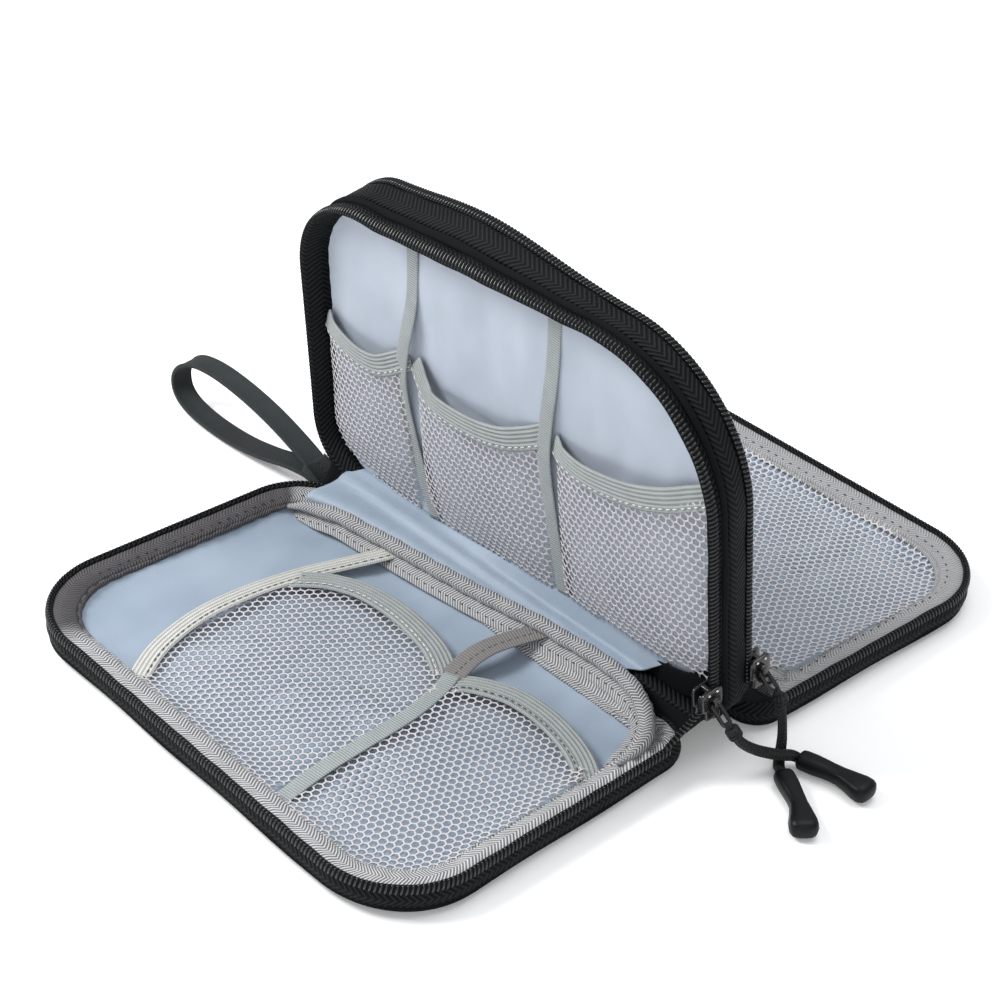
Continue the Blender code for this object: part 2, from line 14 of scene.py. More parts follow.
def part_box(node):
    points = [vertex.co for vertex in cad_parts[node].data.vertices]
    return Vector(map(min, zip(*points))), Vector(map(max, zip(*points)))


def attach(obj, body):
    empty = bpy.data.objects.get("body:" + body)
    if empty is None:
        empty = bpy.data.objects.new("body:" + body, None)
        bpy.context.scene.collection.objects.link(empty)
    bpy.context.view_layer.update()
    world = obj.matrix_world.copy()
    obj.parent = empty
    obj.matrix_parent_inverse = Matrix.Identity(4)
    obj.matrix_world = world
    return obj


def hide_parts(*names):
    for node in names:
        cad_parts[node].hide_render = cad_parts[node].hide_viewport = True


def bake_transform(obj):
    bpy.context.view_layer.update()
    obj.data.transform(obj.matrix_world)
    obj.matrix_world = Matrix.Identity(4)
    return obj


MM = 0.001
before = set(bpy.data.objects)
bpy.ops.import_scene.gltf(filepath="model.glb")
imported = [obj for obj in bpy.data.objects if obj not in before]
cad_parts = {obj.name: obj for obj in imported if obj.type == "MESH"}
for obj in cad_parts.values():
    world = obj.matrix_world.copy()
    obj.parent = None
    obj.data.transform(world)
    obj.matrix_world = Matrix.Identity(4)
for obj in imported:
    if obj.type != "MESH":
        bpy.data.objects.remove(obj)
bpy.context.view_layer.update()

# ---- frames from the CAD

COVER_START = 1.5                   # hinge axis to a cover's near side
COVER_CORNERS = (10, 30, 30, 22)    # radii: near +X, far +X, far -X, near -X
MIDDLE_CORNERS = (10, 44, 36, 22)
PANEL_PROUD = 0.6                   # the CAD panel stands this far outside the outline
CHAIN_BACK = 0.8                    # each CAD zip chain stops this far short of the hinge plane
LEAN = radians(7)
LEAN_SIN, LEAN_COS = sin(LEAN), cos(LEAN)

panel_low, panel_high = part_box("front_cover_panel")
CENTRE_X = (panel_low.x + panel_high.x) / 2    # metres
HALF_WIDTH = (panel_high.x - panel_low.x) / 2 / MM - PANEL_PROUD
HALF_MIDDLE = (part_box("back_cover_panel")[0].y - panel_high.y) / 2 / MM - COVER_START + PANEL_PROUD
HEIGHT = -panel_low.y / MM - PANEL_PROUD - HALF_MIDDLE
HINGE_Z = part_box("front_cover_zip_chain")[1].z + CHAIN_BACK * MM    # metres


class Half:
    """A local frame and the body its pieces ride on, with the soft shape they take before they are placed."""

    def __init__(self, matrix, body, soften=None):
        self.matrix = np.array(matrix)
        self.body = body
        self.soften = soften
        self.mirrored = np.linalg.det(self.matrix[:3, :3]) < 0

    def world(self, points):
        spots = np.asarray(points, float).reshape(-1, 3)
        if self.soften:
            spots = self.soften(spots)
        return spots @ self.matrix[:3, :3].T + self.matrix[:3, 3]


def axes(v_axis, d_axis, origin):
    """A local frame in millimetres as a matrix to world metres."""
    columns = [Vector(axis) * MM for axis in ((1, 0, 0), v_axis, d_axis)]
    return Matrix.Translation(origin) @ Matrix(columns).transposed().to_4x4()


def soft_front_cover(points):
    """The front cover narrows a little towards the hinge on the pull side."""
    x, v, d = points.T
    right = np.clip(x / 95, 0, 1.05) ** 2
    return np.stack([x - 4.5 * right * np.clip(1 - v / 110, 0, 1), v, d], axis=1)


def soft_middle(side):
    """The middle's strap side leans in towards the top, the back rim more than the front one."""
    def soften(points):
        x, v, d = points.T
        back = np.clip((9 - side * d) / 18, 0, 1)
        height = np.clip(v / 105, 0, 1.2)
        pull = (1 - back) * 6 * height ** 0.75 + back * 14 * height ** 1.2
        bulge = back * 4 * np.exp(-((x + 10) / 38) ** 2) * height ** 3
        drop = (1 - back) * 4.4 * np.clip((45 - x) / 95, 0, 1) * height ** 3
        return np.stack([x + pull * np.clip(-x / 95, 0, 1.05) ** 2, v + bulge - drop, d], axis=1)
    return soften


UPRIGHT = (0, -LEAN_SIN, LEAN_COS)
FRONT = Half(axes((0, -1, 0), (0, 0, 1), (CENTRE_X, -HALF_MIDDLE * MM, 0)), "front_cover", soft_front_cover)
BACK = Half(axes((0, 1, 0), (0, 0, 1), (CENTRE_X, HALF_MIDDLE * MM, 0)), "back_cover")
MIDDLE_FRONT = Half(axes(UPRIGHT, (0, -LEAN_COS, -LEAN_SIN), (CENTRE_X, 0, HINGE_Z)), "middle", soft_middle(1))
MIDDLE_BACK = Half(axes(UPRIGHT, (0, LEAN_COS, LEAN_SIN), (CENTRE_X, 0, HINGE_Z)), "middle", soft_middle(-1))


def pouch(body=None):
    """The whole pouch's frame, for a piece that rides on this body, or that rides on none when there is none."""
    return Half(Matrix.Translation((CENTRE_X, 0, 0)) @ Matrix.Diagonal((MM, MM, MM, 1)), body)


# ---- materials


def connect(target, value):
    """Sets a node's input, or links it to another node's output."""
    if hasattr(value, "links"):
        target.id_data.links.new(value, target)
    else:
        target.default_value = value


def fill(node, **values):
    """Connects a node's inputs by name, written with _ for a space."""
    for key, value in values.items():
        connect(node.inputs[key.replace("_", " ")], value)


def add_object(name, data):
    made = bpy.data.objects.new(name, data)
    bpy.context.scene.collection.objects.link(made)
    return made


class Shader:
    """Builds one node material. u and w are a surface's uv in millimetres."""

    def __init__(self, name):
        self.material = bpy.data.materials.new(name)
        self.material.use_nodes = True
        self.tree = self.material.node_tree
        self.surface = self.tree.nodes["Principled BSDF"]
        self.uv = self.node("ShaderNodeUVMap").outputs["UV"]
        parts = self.node("ShaderNodeSeparateXYZ")
        fill(parts, Vector=self.uv)
        self.u, self.w = parts.outputs[0], parts.outputs[1]

    def node(self, kind, **settings):
        made = self.tree.nodes.new(kind)
        for key, value in settings.items():
            setattr(made, key, value)
        return made

    def math(self, operation, a, b=0):
        made = self.node("ShaderNodeMath", operation=operation)
        connect(made.inputs[0], a)
        connect(made.inputs[1], b)
        return made.outputs[0]

    def wave(self, value, period, phase=0):
        """A sine of a length, from 0 to 1."""
        turned = self.math("ADD", self.math("MULTIPLY", value, 2 * pi / period), phase)
        return self.math("ADD", self.math("MULTIPLY", self.math("SINE", turned), 0.5), 0.5)

    def ramp(self, value, start, end):
        """0 before start, 1 after end."""
        made = self.node("ShaderNodeMapRange")
        fill(made, Value=value, From_Min=start, From_Max=end)
        return made.outputs["Result"]

    def noise(self, scale, detail):
        made = self.node("ShaderNodeTexNoise")
        fill(made, Scale=scale, Detail=detail, Vector=self.uv)
        return made.outputs["Fac"]

    def zigzag(self, period, column, slope):
        """Herringbone ribs: slanted one way in one column and the other way in the next."""
        fold = self.math("PINGPONG", self.w, column)
        return self.wave(self.math("ADD", self.u, self.math("MULTIPLY", fold, slope)), period)

    def colour(self, share, low, high):
        """A colour between two others. Each of them is a tuple or another node's colour."""
        low, high = (value if hasattr(value, "links") else (*value, 1) for value in (low, high))
        mix = self.node("ShaderNodeMix", data_type="RGBA")
        fill(mix, Factor=share, A=low, B=high)
        fill(self.surface, Base_Color=mix.outputs["Result"])
        return mix.outputs["Result"]

    def mixed(self, parts):
        """A weighted sum of (value, weight) pairs."""
        total = None
        for value, weight in parts:
            term = self.math("MULTIPLY", value, weight)
            total = term if total is None else self.math("ADD", total, term)
        return total


def look(name, pattern, low, high, roughness, depth, sheen=0, shine=0.4, metallic=0, tint=(1, 1, 1)):
    """A material whose pattern gives the parts of its colour, from low to high, and those of its relief."""
    made = Shader(name)
    fill(made.surface, Roughness=roughness, Metallic=metallic, Specular_IOR_Level=shine, Sheen_Weight=sheen,
         Sheen_Roughness=0.4, Sheen_Tint=(*tint, 1))
    colour_parts, relief_parts = pattern(made)
    made.colour(made.mixed(colour_parts), low, high)
    bump = made.node("ShaderNodeBump")
    fill(bump, Distance=depth * MM, Height=made.mixed(relief_parts))
    fill(made.surface, Normal=bump.outputs[0])
    return made


def plain_weave(pitch, cloud=0.3):
    def pattern(made):
        over, under = (made.math("MULTIPLY", made.wave(made.u, pitch * 2, phase), made.wave(made.w, pitch * 2, phase))
                       for phase in (0, pi))
        woven = made.math("ADD", over, under)
        return [(woven, 1 - cloud), (made.noise(0.09, 3), cloud)], [(woven, 1)]
    return pattern


def herringbone(period, column, slope):
    def pattern(made):
        ribs = made.zigzag(period, column, slope)
        return ([(made.math("POWER", ribs, 2), 0.85), (made.noise(0.12, 3), 0.25)],
                [(ribs, 1), (made.noise(3, 1), 0.2)])
    return pattern


def knitted(ribs_apart):
    """Elastic: rows of fine stitches on raised lengthwise ribs."""
    def pattern(made):
        rows = made.zigzag(0.8, 0.4, 1)
        ribs = made.wave(made.w, ribs_apart, -pi / 2)
        return [(ribs, 0.4), (rows, 0.35), (made.noise(0.2, 3), 0.35)], [(ribs, 1), (rows, 0.5)]
    return pattern


def cross_ribbed(made):
    ribs, fine = made.wave(made.u, 0.9), made.wave(made.w, 0.6)
    return [(ribs, 0.65), (fine, 0.15), (made.noise(0.15, 3), 0.35)], [(ribs, 1), (fine, 0.25)]


def binding(made):
    ribs = made.mixed([(made.zigzag(1.2, 3.4, 0.8), 0.85), (made.noise(0.15, 3), 0.25)])
    return [(ribs, 1)], [(ribs, 1)]


def satin(made):
    twill = made.wave(made.math("ADD", made.u, made.w), 0.7)
    return [(twill, 0.2), (made.noise(0.03, 2), 0.9)], [(twill, 0.4), (made.noise(0.3, 3), 0.9)]


def yarn(made):
    return [(made.noise(0.5, 2), 1)], [(made.noise(4, 1), 1)]


def moulded(grain):
    def pattern(made):
        return [(made.noise(0.4, 2), 1)], [(made.noise(grain, 2), 1)]
    return pattern


def braid(made):
    plait = made.zigzag(1.3, 0.9, 1.1)
    return [(plait, 1)], [(plait, 1)]


ELASTIC_WIDTH, ELASTIC_RIBS = 8.5, 6
LONG_ELASTIC_WIDTH, LONG_ELASTIC_RIBS = 7, 5
SATIN = (0.5, 0.09, 0.15, 0.35, 0, (0.8, 0.88, 1))
# name: (slot, pattern, low colour, high colour, roughness, relief depth, sheen, shine, metallic, sheen tint)
LOOKS = {
    "black_fabric": ("black_fabric", plain_weave(0.5), (0.002, 0.0023, 0.0025), (0.009, 0.01, 0.011), 0.85, 0.1, 0,
                     0.08),
    "black_herringbone": ("black_tape", herringbone(2, 3.8, 1.1), (0.0015, 0.0018, 0.002), (0.018, 0.02, 0.021),
                          0.6, 0.3, 0, 0.08),
    "chain": ("black_chain", moulded(2), (0.002, 0.0024, 0.0027), (0.005, 0.006, 0.0065), 0.22, 0.02, 0, 0.5),
    "lining": ("blue_lining", satin, (0.31, 0.35, 0.42), (0.46, 0.51, 0.58), *SATIN),
    # Painted shade: a darker copy of the same lining, for the covers and the hinge strips, which lie in shadow.
    "cover_lining": ("blue_lining", satin, (0.2, 0.25, 0.32), (0.34, 0.41, 0.49), *SATIN),
    "netting": ("white_netting", yarn, (0.46, 0.44, 0.45), (0.62, 0.59, 0.6), 0.6, 0.05, 0.1),
    "elastic": ("grey_elastic", knitted(ELASTIC_WIDTH / ELASTIC_RIBS), (0.16, 0.175, 0.175), (0.4, 0.425, 0.42),
                0.8, 0.2, 0.1),
    "pale_elastic": ("pale_elastic", knitted(LONG_ELASTIC_WIDTH / LONG_ELASTIC_RIBS), (0.3, 0.3, 0.28),
                     (0.72, 0.72, 0.68), 0.8, 0.2, 0.1),
    "ribbon": ("grey_ribbon", cross_ribbed, (0.14, 0.16, 0.16), (0.4, 0.43, 0.43), 0.7, 0.14, 0.1),
    "brown_ribbon": ("grey_ribbon", cross_ribbed, (0.1, 0.095, 0.093), (0.24, 0.225, 0.22), 0.7, 0.14, 0.1),
    "light_tape": ("grey_binding", herringbone(1.1, 2.6, 0.7), (0.1, 0.1, 0.103), (0.62, 0.62, 0.63), 0.7, 0.22, 0.1),
    "ridge": ("grey_binding", herringbone(1.2, 2.4, 0.8), (0.08, 0.08, 0.083), (0.64, 0.64, 0.65), 0.7, 0.3, 0.1),
    "front_tape": ("grey_binding", binding, (0.025, 0.025, 0.027), (0.6, 0.6, 0.61), 0.7, 0.25),
    "back_tape": ("grey_binding", binding, (0.17, 0.17, 0.175), (0.4, 0.4, 0.41), 0.7, 0.25),
    "white_thread": (None, yarn, (0.6, 0.6, 0.6), (0.8, 0.8, 0.8), 0.6, 0.05, 0.1),
    "dark_thread": (None, yarn, (0.012, 0.012, 0.012), (0.03, 0.03, 0.03), 0.6, 0.05, 0.1),
    "metal": ("black_metal", moulded(2), (0.006, 0.006, 0.007), (0.014, 0.014, 0.015), 0.22, 0.02, 0, 0.8, 0.2),
    # Painted highlights: light metal for the sliders' glints.
    "painted_glint": (None, moulded(2), (0.5, 0.5, 0.5), (0.7, 0.7, 0.7), 0.25, 0.02, 0, 0.5, 0.9),
    "cord": ("black_cord", braid, (0.004, 0.004, 0.005), (0.02, 0.021, 0.022), 0.7, 0.25, 0, 0.25),
    "grip": ("grip_rubber", moulded(3), (0.0025, 0.0032, 0.0036), (0.0045, 0.0056, 0.0065), 0.42, 0.02, 0, 0.17),
    "webbing": ("strap_webbing", plain_weave(0.45, 0.5), (0.012, 0.0145, 0.015), (0.036, 0.042, 0.044), 0.8, 0.08, 0,
                0.2),
}
SHADERS = {name: look(name, *settings) for name, (_, *settings) in LOOKS.items()}

# ---- mesh building


def piece(name, points, faces, uvs, material, place, node=None):
    """An object from local points. uvs holds one (u, w) for each face corner, or None to use each point's (x, v)."""
    if uvs is None:
        uvs = [[(points[i][0], points[i][1]) for i in face] for face in faces]
    if place.mirrored:
        faces = [tuple(reversed(face)) for face in faces]
        uvs = [tuple(reversed(face)) for face in uvs]
    mesh = bpy.data.meshes.new(name)
    mesh.from_pydata([tuple(point) for point in place.world(points)], [], faces)
    layer = mesh.uv_layers.new(name="UVMap")
    layer.data.foreach_set("uv", np.array([spot for face in uvs for spot in face], np.float32).ravel())
    mesh.polygons.foreach_set("use_smooth", [True] * len(mesh.polygons))
    mesh.materials.append(SHADERS[material].material)
    mesh.update()
    made = add_object(name, mesh)
    if place.body:
        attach(made, place.body)
    if node:
        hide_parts(node)
    return made


def remeshed(obj, change):
    """Applies a bmesh change to the object's mesh."""
    shape = bmesh.new()
    shape.from_mesh(obj.data)
    change(shape)
    shape.to_mesh(obj.data)
    shape.free()
    return obj


def fix_normals(obj):
    return remeshed(obj, lambda shape: bmesh.ops.recalc_face_normals(shape, faces=shape.faces))


def thicken(obj, thickness, offset=-1):
    made = obj.modifiers.new("Solidify", "SOLIDIFY")
    made.thickness = thickness * MM
    made.offset = offset


def fold_noise(x, v, scale, seed):
    return noise.noise(Vector((x * scale, v * scale, seed)))


def circle(count):
    """Cosine and sine of equal steps round a circle."""
    return [(cos(2 * pi * k / count), sin(2 * pi * k / count)) for k in range(count)]


def unit(values):
    return values / np.linalg.norm(values, axis=1)[:, None]


def grid_faces(rows, columns, along, across, close_rows=False, close_columns=False):
    """Quads of a grid of points, row by row. along and across give the uv of each row and column."""
    faces = []
    uvs = []
    for i in range(rows if close_rows else rows - 1):
        here, after = i * columns, (i + 1) % rows * columns
        u0, u1 = along[i], along[i + 1]
        for j in range(columns if close_columns else columns - 1):
            right = (j + 1) % columns
            w0, w1 = across[j], across[j + 1]
            faces.append((here + j, here + right, after + right, after + j))
            uvs.append(((u0, w0), (u0, w1), (u1, w1), (u1, w0)))
    return faces, uvs


def tube_faces(rows, columns, along, across):
    """Faces and uvs of a tube with a cap at each end."""
    faces, uvs = grid_faces(rows, columns, along, across, close_columns=True)
    for cap in (range(columns - 1, -1, -1), range((rows - 1) * columns, rows * columns)):
        faces.append(tuple(cap))
        uvs.append([(0, across[k % columns]) for k in cap])
    return faces, uvs


def lengths(points):
    """Running length along a line of points, from 0."""
    steps = np.linalg.norm(np.diff(np.asarray(points, float), axis=0), axis=1)
    return np.concatenate([[0], np.cumsum(steps)])


def even_line(points, step):
    """The line cut again into equal steps."""
    spots = np.asarray(points, float)
    run = lengths(spots)
    wanted = np.linspace(0, run[-1], max(int(round(run[-1] / step)), 2) + 1)
    return np.stack([np.interp(wanted, run, spots[:, k]) for k in range(spots.shape[1])], axis=1)


def smooth_line(points, step=1.5):
    """A Catmull-Rom curve through the points, cut into equal steps."""
    spots = np.asarray(points, float)
    ends = np.vstack([2 * spots[0] - spots[1], spots, 2 * spots[-1] - spots[-2]])
    fine = []
    for k in range(1, len(ends) - 2):
        a, b, c, d = ends[k - 1:k + 3]
        for t in np.linspace(0, 1, 16, endpoint=False):
            fine.append(0.5 * (2 * b + (c - a) * t + (2 * a - 5 * b + 4 * c - d) * t * t
                               + (3 * b - a - 3 * c + d) * t ** 3))
    fine.append(spots[-1])
    return even_line(fine, step)


def rounded(start, corners):
    """Closed outline from the middle of the hinge side, towards +X, up and round."""
    points = [(0, start)]
    for quarter, radius in enumerate(corners):
        x = (HALF_WIDTH - radius) * (1 if quarter < 2 else -1)
        v = HEIGHT - radius if quarter in (1, 2) else start + radius
        for k in range(25):
            angle = radians(90 * (quarter - 1) + 90 * k / 24)
            points.append((x + radius * cos(angle), v + radius * sin(angle)))
    return points + [(0, start)]


class Outline:
    """A half's outline: equal steps along it, with outward directions."""

    def __init__(self, start, corners, step=1.5):
        self.points = even_line(rounded(start, corners), step)[:-1]
        after = np.roll(self.points, -1, axis=0)
        along = unit(after - np.roll(self.points, 1, axis=0))
        self.out = np.stack([along[:, 1], -along[:, 0]], axis=1)
        self.run = np.concatenate([[0], np.cumsum(np.linalg.norm(after - self.points, axis=1))])
        self.count = len(self.points)

    def reach(self, index, inset):
        """The point this far inside the outline. Deep points slide to the centre, so that corners never cross."""
        limit = 6.0
        x, v = self.points[index] - self.out[index] * min(inset, limit)
        if inset <= limit:
            return x, v
        share = (inset - limit) / (HEIGHT / 2 - limit)
        core_x = max(-HALF_WIDTH + HEIGHT / 2, min(HALF_WIDTH - HEIGHT / 2, x))
        return x + (core_x - x) * share, v + (HEIGHT / 2 - v) * share

    def where(self, test):
        return [index for index in range(self.count) if test(*self.points[index])]

    def part(self, last_x, low_right):
        """Indices of the open part, from this height on the pull side round to this x on the hinge side."""
        return self.where(lambda x, v: v >= low_right if x > 0 else (v > 30 or x < last_x))


COVER = Outline(COVER_START, COVER_CORNERS)
MIDDLE = Outline(0, MIDDLE_CORNERS)


def sweep(name, outline, profile, material, place, node=None, closed=True, ripple=None, cap=False):
    """A profile of (inset, d) carried round an outline. ripple(s, k, x, v) adds (inset, d) for folds."""
    points = []
    for index in range(outline.count):
        for k, (inset, depth) in enumerate(profile):
            if ripple:
                more = ripple(outline.run[index], k, *outline.points[index])
                inset, depth = inset + more[0], depth + more[1]
            points.append((*outline.reach(index, inset), depth))
    columns = len(profile)
    faces, uvs = grid_faces(outline.count, columns, outline.run, lengths([*profile, profile[0]]), True, closed)
    if cap:
        for loop in (range(len(points) - columns, -1, -columns), range(columns - 1, len(points), columns)):
            faces.append(tuple(loop))
            uvs.append([(points[i][0], points[i][1]) for i in loop])
    made = piece(name, points, faces, uvs, material, place, node)
    return fix_normals(made) if closed or cap else made


def sheet(name, outline, first, depth_at, material, place, node, seed, folds, rings=26):
    """A lining: rings of points from the rim to the centre line, with soft folds."""
    insets = [first + (HEIGHT / 2 - 1 - first) * k / (rings - 1) for k in range(rings)]
    points = []
    for index in range(outline.count):
        for k, inset in enumerate(insets):
            x, v = outline.reach(index, inset)
            broad = fold_noise(x, v, 0.035, seed) * folds * 1.6
            fine = fold_noise(x, v * 0.5, 0.1, seed + 7) * folds
            pucker = 0.12 * folds * sin(outline.run[index] * 0.9 + seed) * max(0, 1 - k / 5)
            points.append((x, v, depth_at(x, v) + min(1, k / 4) * (broad + fine) + pucker))
    faces, _ = grid_faces(outline.count, rings, outline.run, insets + [0], True)
    faces.append(tuple(row * rings + rings - 1 for row in reversed(range(outline.count))))
    made = piece(name, points, faces, None, material, place, node)
    thicken(made, 0.5)
    return made


COIL_PITCH = 1.45
COIL_TALL, COIL_DEEP = 1.25, 0.4    # half sizes of the wire's flattened loop
COIL_WIRE = 0.43


def coil(name, core, outward, upward, place, node=None):
    """A zip's nylon coil: one flattened helix of wire round a filler cord. upward gives its long direction."""
    run = lengths(core)
    turns = int(run[-1] / COIL_PITCH)
    s = np.linspace(0, turns * COIL_PITCH, turns * 12 + 1)
    centre, side, rise = (np.stack([np.interp(s, run, values[:, k]) for k in range(3)], axis=1)
                          for values in (core, outward, upward))
    side, rise = unit(side), unit(rise)

    def tube(suffix, route, first, second, sides, run_here, girth, material, stands_for=None):
        rings = [route + first * a + second * b for a, b in circle(sides)]
        points = np.stack(rings, axis=1).reshape(-1, 3)
        faces, uvs = tube_faces(len(route), sides, run_here, [k * girth for k in range(sides + 1)])
        return fix_normals(piece(name + suffix, points, faces, uvs, material, place, stands_for))

    angle = (2 * pi * s / COIL_PITCH)[:, None]
    route = centre + rise * (COIL_TALL * np.cos(angle)) + side * (COIL_DEEP * np.sin(angle))
    heading = unit(np.gradient(route, axis=0))
    first = unit(np.cross(heading, unit(np.gradient(centre, axis=0))))
    second = np.cross(heading, first)
    spring = tube("", route, first * COIL_WIRE, second * COIL_WIRE, 6, s, 0.5, "chain", node)
    filler = tube("_filler", centre[::7], rise[::7] * (COIL_TALL + 0.3), side[::7] * (COIL_DEEP + 0.2), 10, s[::7],
                  1.1, "black_fabric")
    return spring, filler


def rim_coil(name, outline, part, depth, place, node):
    """The coil along a half's open edge, outside its tape."""
    tilt = radians(14)
    core = np.array([(*outline.reach(index, -0.2), depth) for index in part])
    out = np.array([(*outline.out[index], 0) for index in part])
    up = np.array([0, 0, 1])
    coil(name, core, out * cos(tilt) + up * sin(tilt), up * cos(tilt) - out * sin(tilt), place,
         node)


def frames_along(line, up):
    """Forward, sideways and upward directions along a line, with upward as near as can be to up."""
    heading = unit(np.gradient(line, axis=0))
    sideways = unit(np.cross(np.broadcast_to(np.asarray(up, float), heading.shape), heading))
    return heading, sideways, np.cross(heading, sideways)


def strip(name, line, section, material, place, node=None, up=(0, 0, 1), ripple=None, flat=False):
    """A closed cross-section of (sideways, upward) carried along a line. A flat one's uv leaves heights out."""
    spots = np.asarray(line, float)
    _, sideways, upward = frames_along(spots, up)
    run = lengths(spots)
    points = []
    for i, spot in enumerate(spots):
        for a, b in section:
            if ripple:
                a, b = ripple(run[i], a, b)
            points.append(spot + sideways[i] * a + upward[i] * b)
    across = lengths([(a, 0 if flat else b) for a, b in [*section, section[0]]])
    faces, uvs = tube_faces(len(spots), len(section), run, across)
    return fix_normals(piece(name, points, faces, uvs, material, place, node))


def ribbed_section(width, thickness, ribs, height=0.3):
    """An elastic band's cross-section, with lengthwise ribs on both faces."""
    section = []
    for face in (1, -1):
        for share in np.arange(ribs * 6 + 1) / (ribs * 6):
            edge = min(1, 6 * min(share, 1 - share) + 0.25)
            rib = height * abs(sin(pi * ribs * share)) - height / 2
            section.append(((share - 0.5) * width * face, face * (thickness / 2 * edge + rib)))
    return section


FLAT_EDGE = ((0, 0.4), (0.02, 0.85), (0.07, 1), (0.3, 1), (0.5, 1), (0.7, 1), (0.93, 1), (0.98, 0.85), (1, 0.4))


def flat_section(width, thickness, crown=0.06):
    """A ribbon's cross-section, thinner at its edges."""
    return [((share - 0.5) * width * face, face * (thickness / 2 * edge + crown * sin(pi * share)))
            for face in (1, -1) for share, edge in FLAT_EDGE]


def stitches(name, line, offset, material, place, up=(0, 0, 1), lift=0.5, pitch=3, length=1.9, width=0.42):
    """A row of thread dashes beside a line."""
    spots = even_line(line, 0.5)
    heading, sideways, upward = frames_along(spots, up)
    run = lengths(spots)
    points = []
    faces = []
    centre = pitch / 2
    while centre < run[-1] - length / 2:
        index = int(np.searchsorted(run, centre))
        middle = spots[index] + sideways[index] * offset + upward[index] * lift
        base = len(points)
        for share, size in ((-0.5, 0.25), (-0.3, 1), (0.3, 1), (0.5, 0.25)):
            spot = middle + heading[index] * share * length
            for a, b in ((-1, 0), (0, 0.7), (1, 0), (0, -0.7)):
                points.append(spot + (sideways[index] * a + upward[index] * b) * width / 2 * size)
        dash, _ = tube_faces(4, 4, range(5), range(5))
        faces += [tuple(base + i for i in face) for face in dash]
        centre += pitch
    return fix_normals(piece(name, points, faces, None, material, place))


def inside(polygon, x, v):
    hit = False
    for k, (bx, bv) in enumerate(polygon):
        ax, av = polygon[k - 1]
        if (av > v) != (bv > v) and x < (bx - ax) * (v - av) / (bv - av) + ax:
            hit = not hit
    return hit


NET_PITCH = 2.7
NET_HOLE = 0.82         # share of a cell that is open
NET_STRAND = 0.26


def net_faces(cells):
    """A strand between each two holes and a knot between each three. cells gives a hole's first point."""
    faces = []
    for (i, j), base in cells.items():
        odd = j % 2
        east, north_east, north_west = map(cells.get, ((i + 1, j), (i + odd, j + 1), (i + odd - 1, j + 1)))
        if east is not None:
            faces.append((base + 5, east + 3, east + 2, base))
        if north_east is not None:
            faces.append((base, north_east + 4, north_east + 3, base + 1))
        if north_west is not None:
            faces.append((base + 1, north_west + 5, north_west + 4, base + 2))
        if east is not None and north_east is not None:
            faces.append((base, east + 2, north_east + 4))
        if north_east is not None and north_west is not None:
            faces.append((base + 1, north_east + 3, north_west + 5))
    return faces


def netting(name, polygon, depth_at, place, node, turn=0):
    """Netting with real hexagonal holes inside a polygon of (x, v)."""
    xs, vs = zip(*polygon)
    width, height = max(xs) - min(xs), max(vs) - min(vs)
    middle = ((min(xs) + max(xs)) / 2, (min(vs) + max(vs)) / 2)
    row_gap = NET_PITCH * 0.9
    rows = int(hypot(width, height) / 2 / row_gap) + 2
    columns = int(hypot(width, height) / 2 / NET_PITCH) + 2
    corner = NET_PITCH / 2 / cos(pi / 6) * NET_HOLE
    cells = {}
    points = []

    def turned(a, b):
        return (middle[0] + a * cos(turn) - b * sin(turn),
                middle[1] + a * sin(turn) + b * cos(turn))

    for j in range(-rows, rows + 1):
        for i in range(-columns, columns + 1):
            a, b = (i + (j % 2) / 2) * NET_PITCH, j * row_gap
            if not inside(polygon, *turned(a, b)):
                continue
            cells[i, j] = len(points)
            for k in range(6):
                angle = radians(60 * k + 30)
                x, v = turned(a + corner * cos(angle), b + corner * 1.04 * sin(angle))
                points.append((x, v, depth_at(x, v)))
    made = piece(name, points, net_faces(cells), None, "netting", place, node)
    thicken(made, NET_STRAND, 0)


# ---- camera

AZIMUTH, ELEVATION, ROLL = radians(47.5), radians(33.33), radians(2.32)
DISTANCE = 0.7454       # metres
LENS = 84.4
backward = Vector((sin(AZIMUTH) * cos(ELEVATION), -cos(AZIMUTH) * cos(ELEVATION),
                   sin(ELEVATION)))
rightward = Vector((cos(AZIMUTH), sin(AZIMUTH), 0))
upward = backward.cross(rightward)
look_at = Vector((CENTRE_X, 0, 0.030)) - rightward * 0.00693 + upward * 0.00982
turned = Matrix((rightward, upward, backward)).transposed() @ Matrix.Rotation(ROLL, 3, "Z")
camera_data = bpy.data.cameras.new("camera")
camera_data.lens = LENS
camera_data.sensor_width = 36
camera_data.clip_end = 20
camera = add_object("camera", camera_data)
camera.matrix_world = Matrix.Translation(look_at + backward * DISTANCE) @ turned.to_4x4()
bpy.context.scene.camera = camera

# ---- cords, grips and sliders

# The cord's section is two strands side by side: a quarter of it, then mirrored twice.
CORD_QUARTER = [(1.7, 0), (1.5, 0.95), (0.95, 1.3), (0.35, 1.05)]
CORD_HALF = CORD_QUARTER + [(0, 0.8)] + [(-a, b) for a, b in CORD_QUARTER[:0:-1]]
CORD_SECTION = CORD_HALF + [(-a, -b) for a, b in CORD_HALF]
FRONT_CORD = [
    (105.1, -11.2, 21.6), (106.4, -8, 16), (107.7, -3, 11.5), (109.4, 2.5, 8.2), (110.7, 6.8, 6.2),
    (111, 9.6, 4.9), (111.5, 11.4, 3.9), (112.55, 11.84, 3.6),
]
BACK_CORD = [
    (105.1, 8.8, 24), (106, 10.1, 16), (106.8, 10.3, 8), (107.9, 8.9, 3), (109.8, 6.6, 1.8),
    (111.8, 5, 2.3), (113.1, 3.85, 3.3), (114.2, 3.09, 3.6),
]
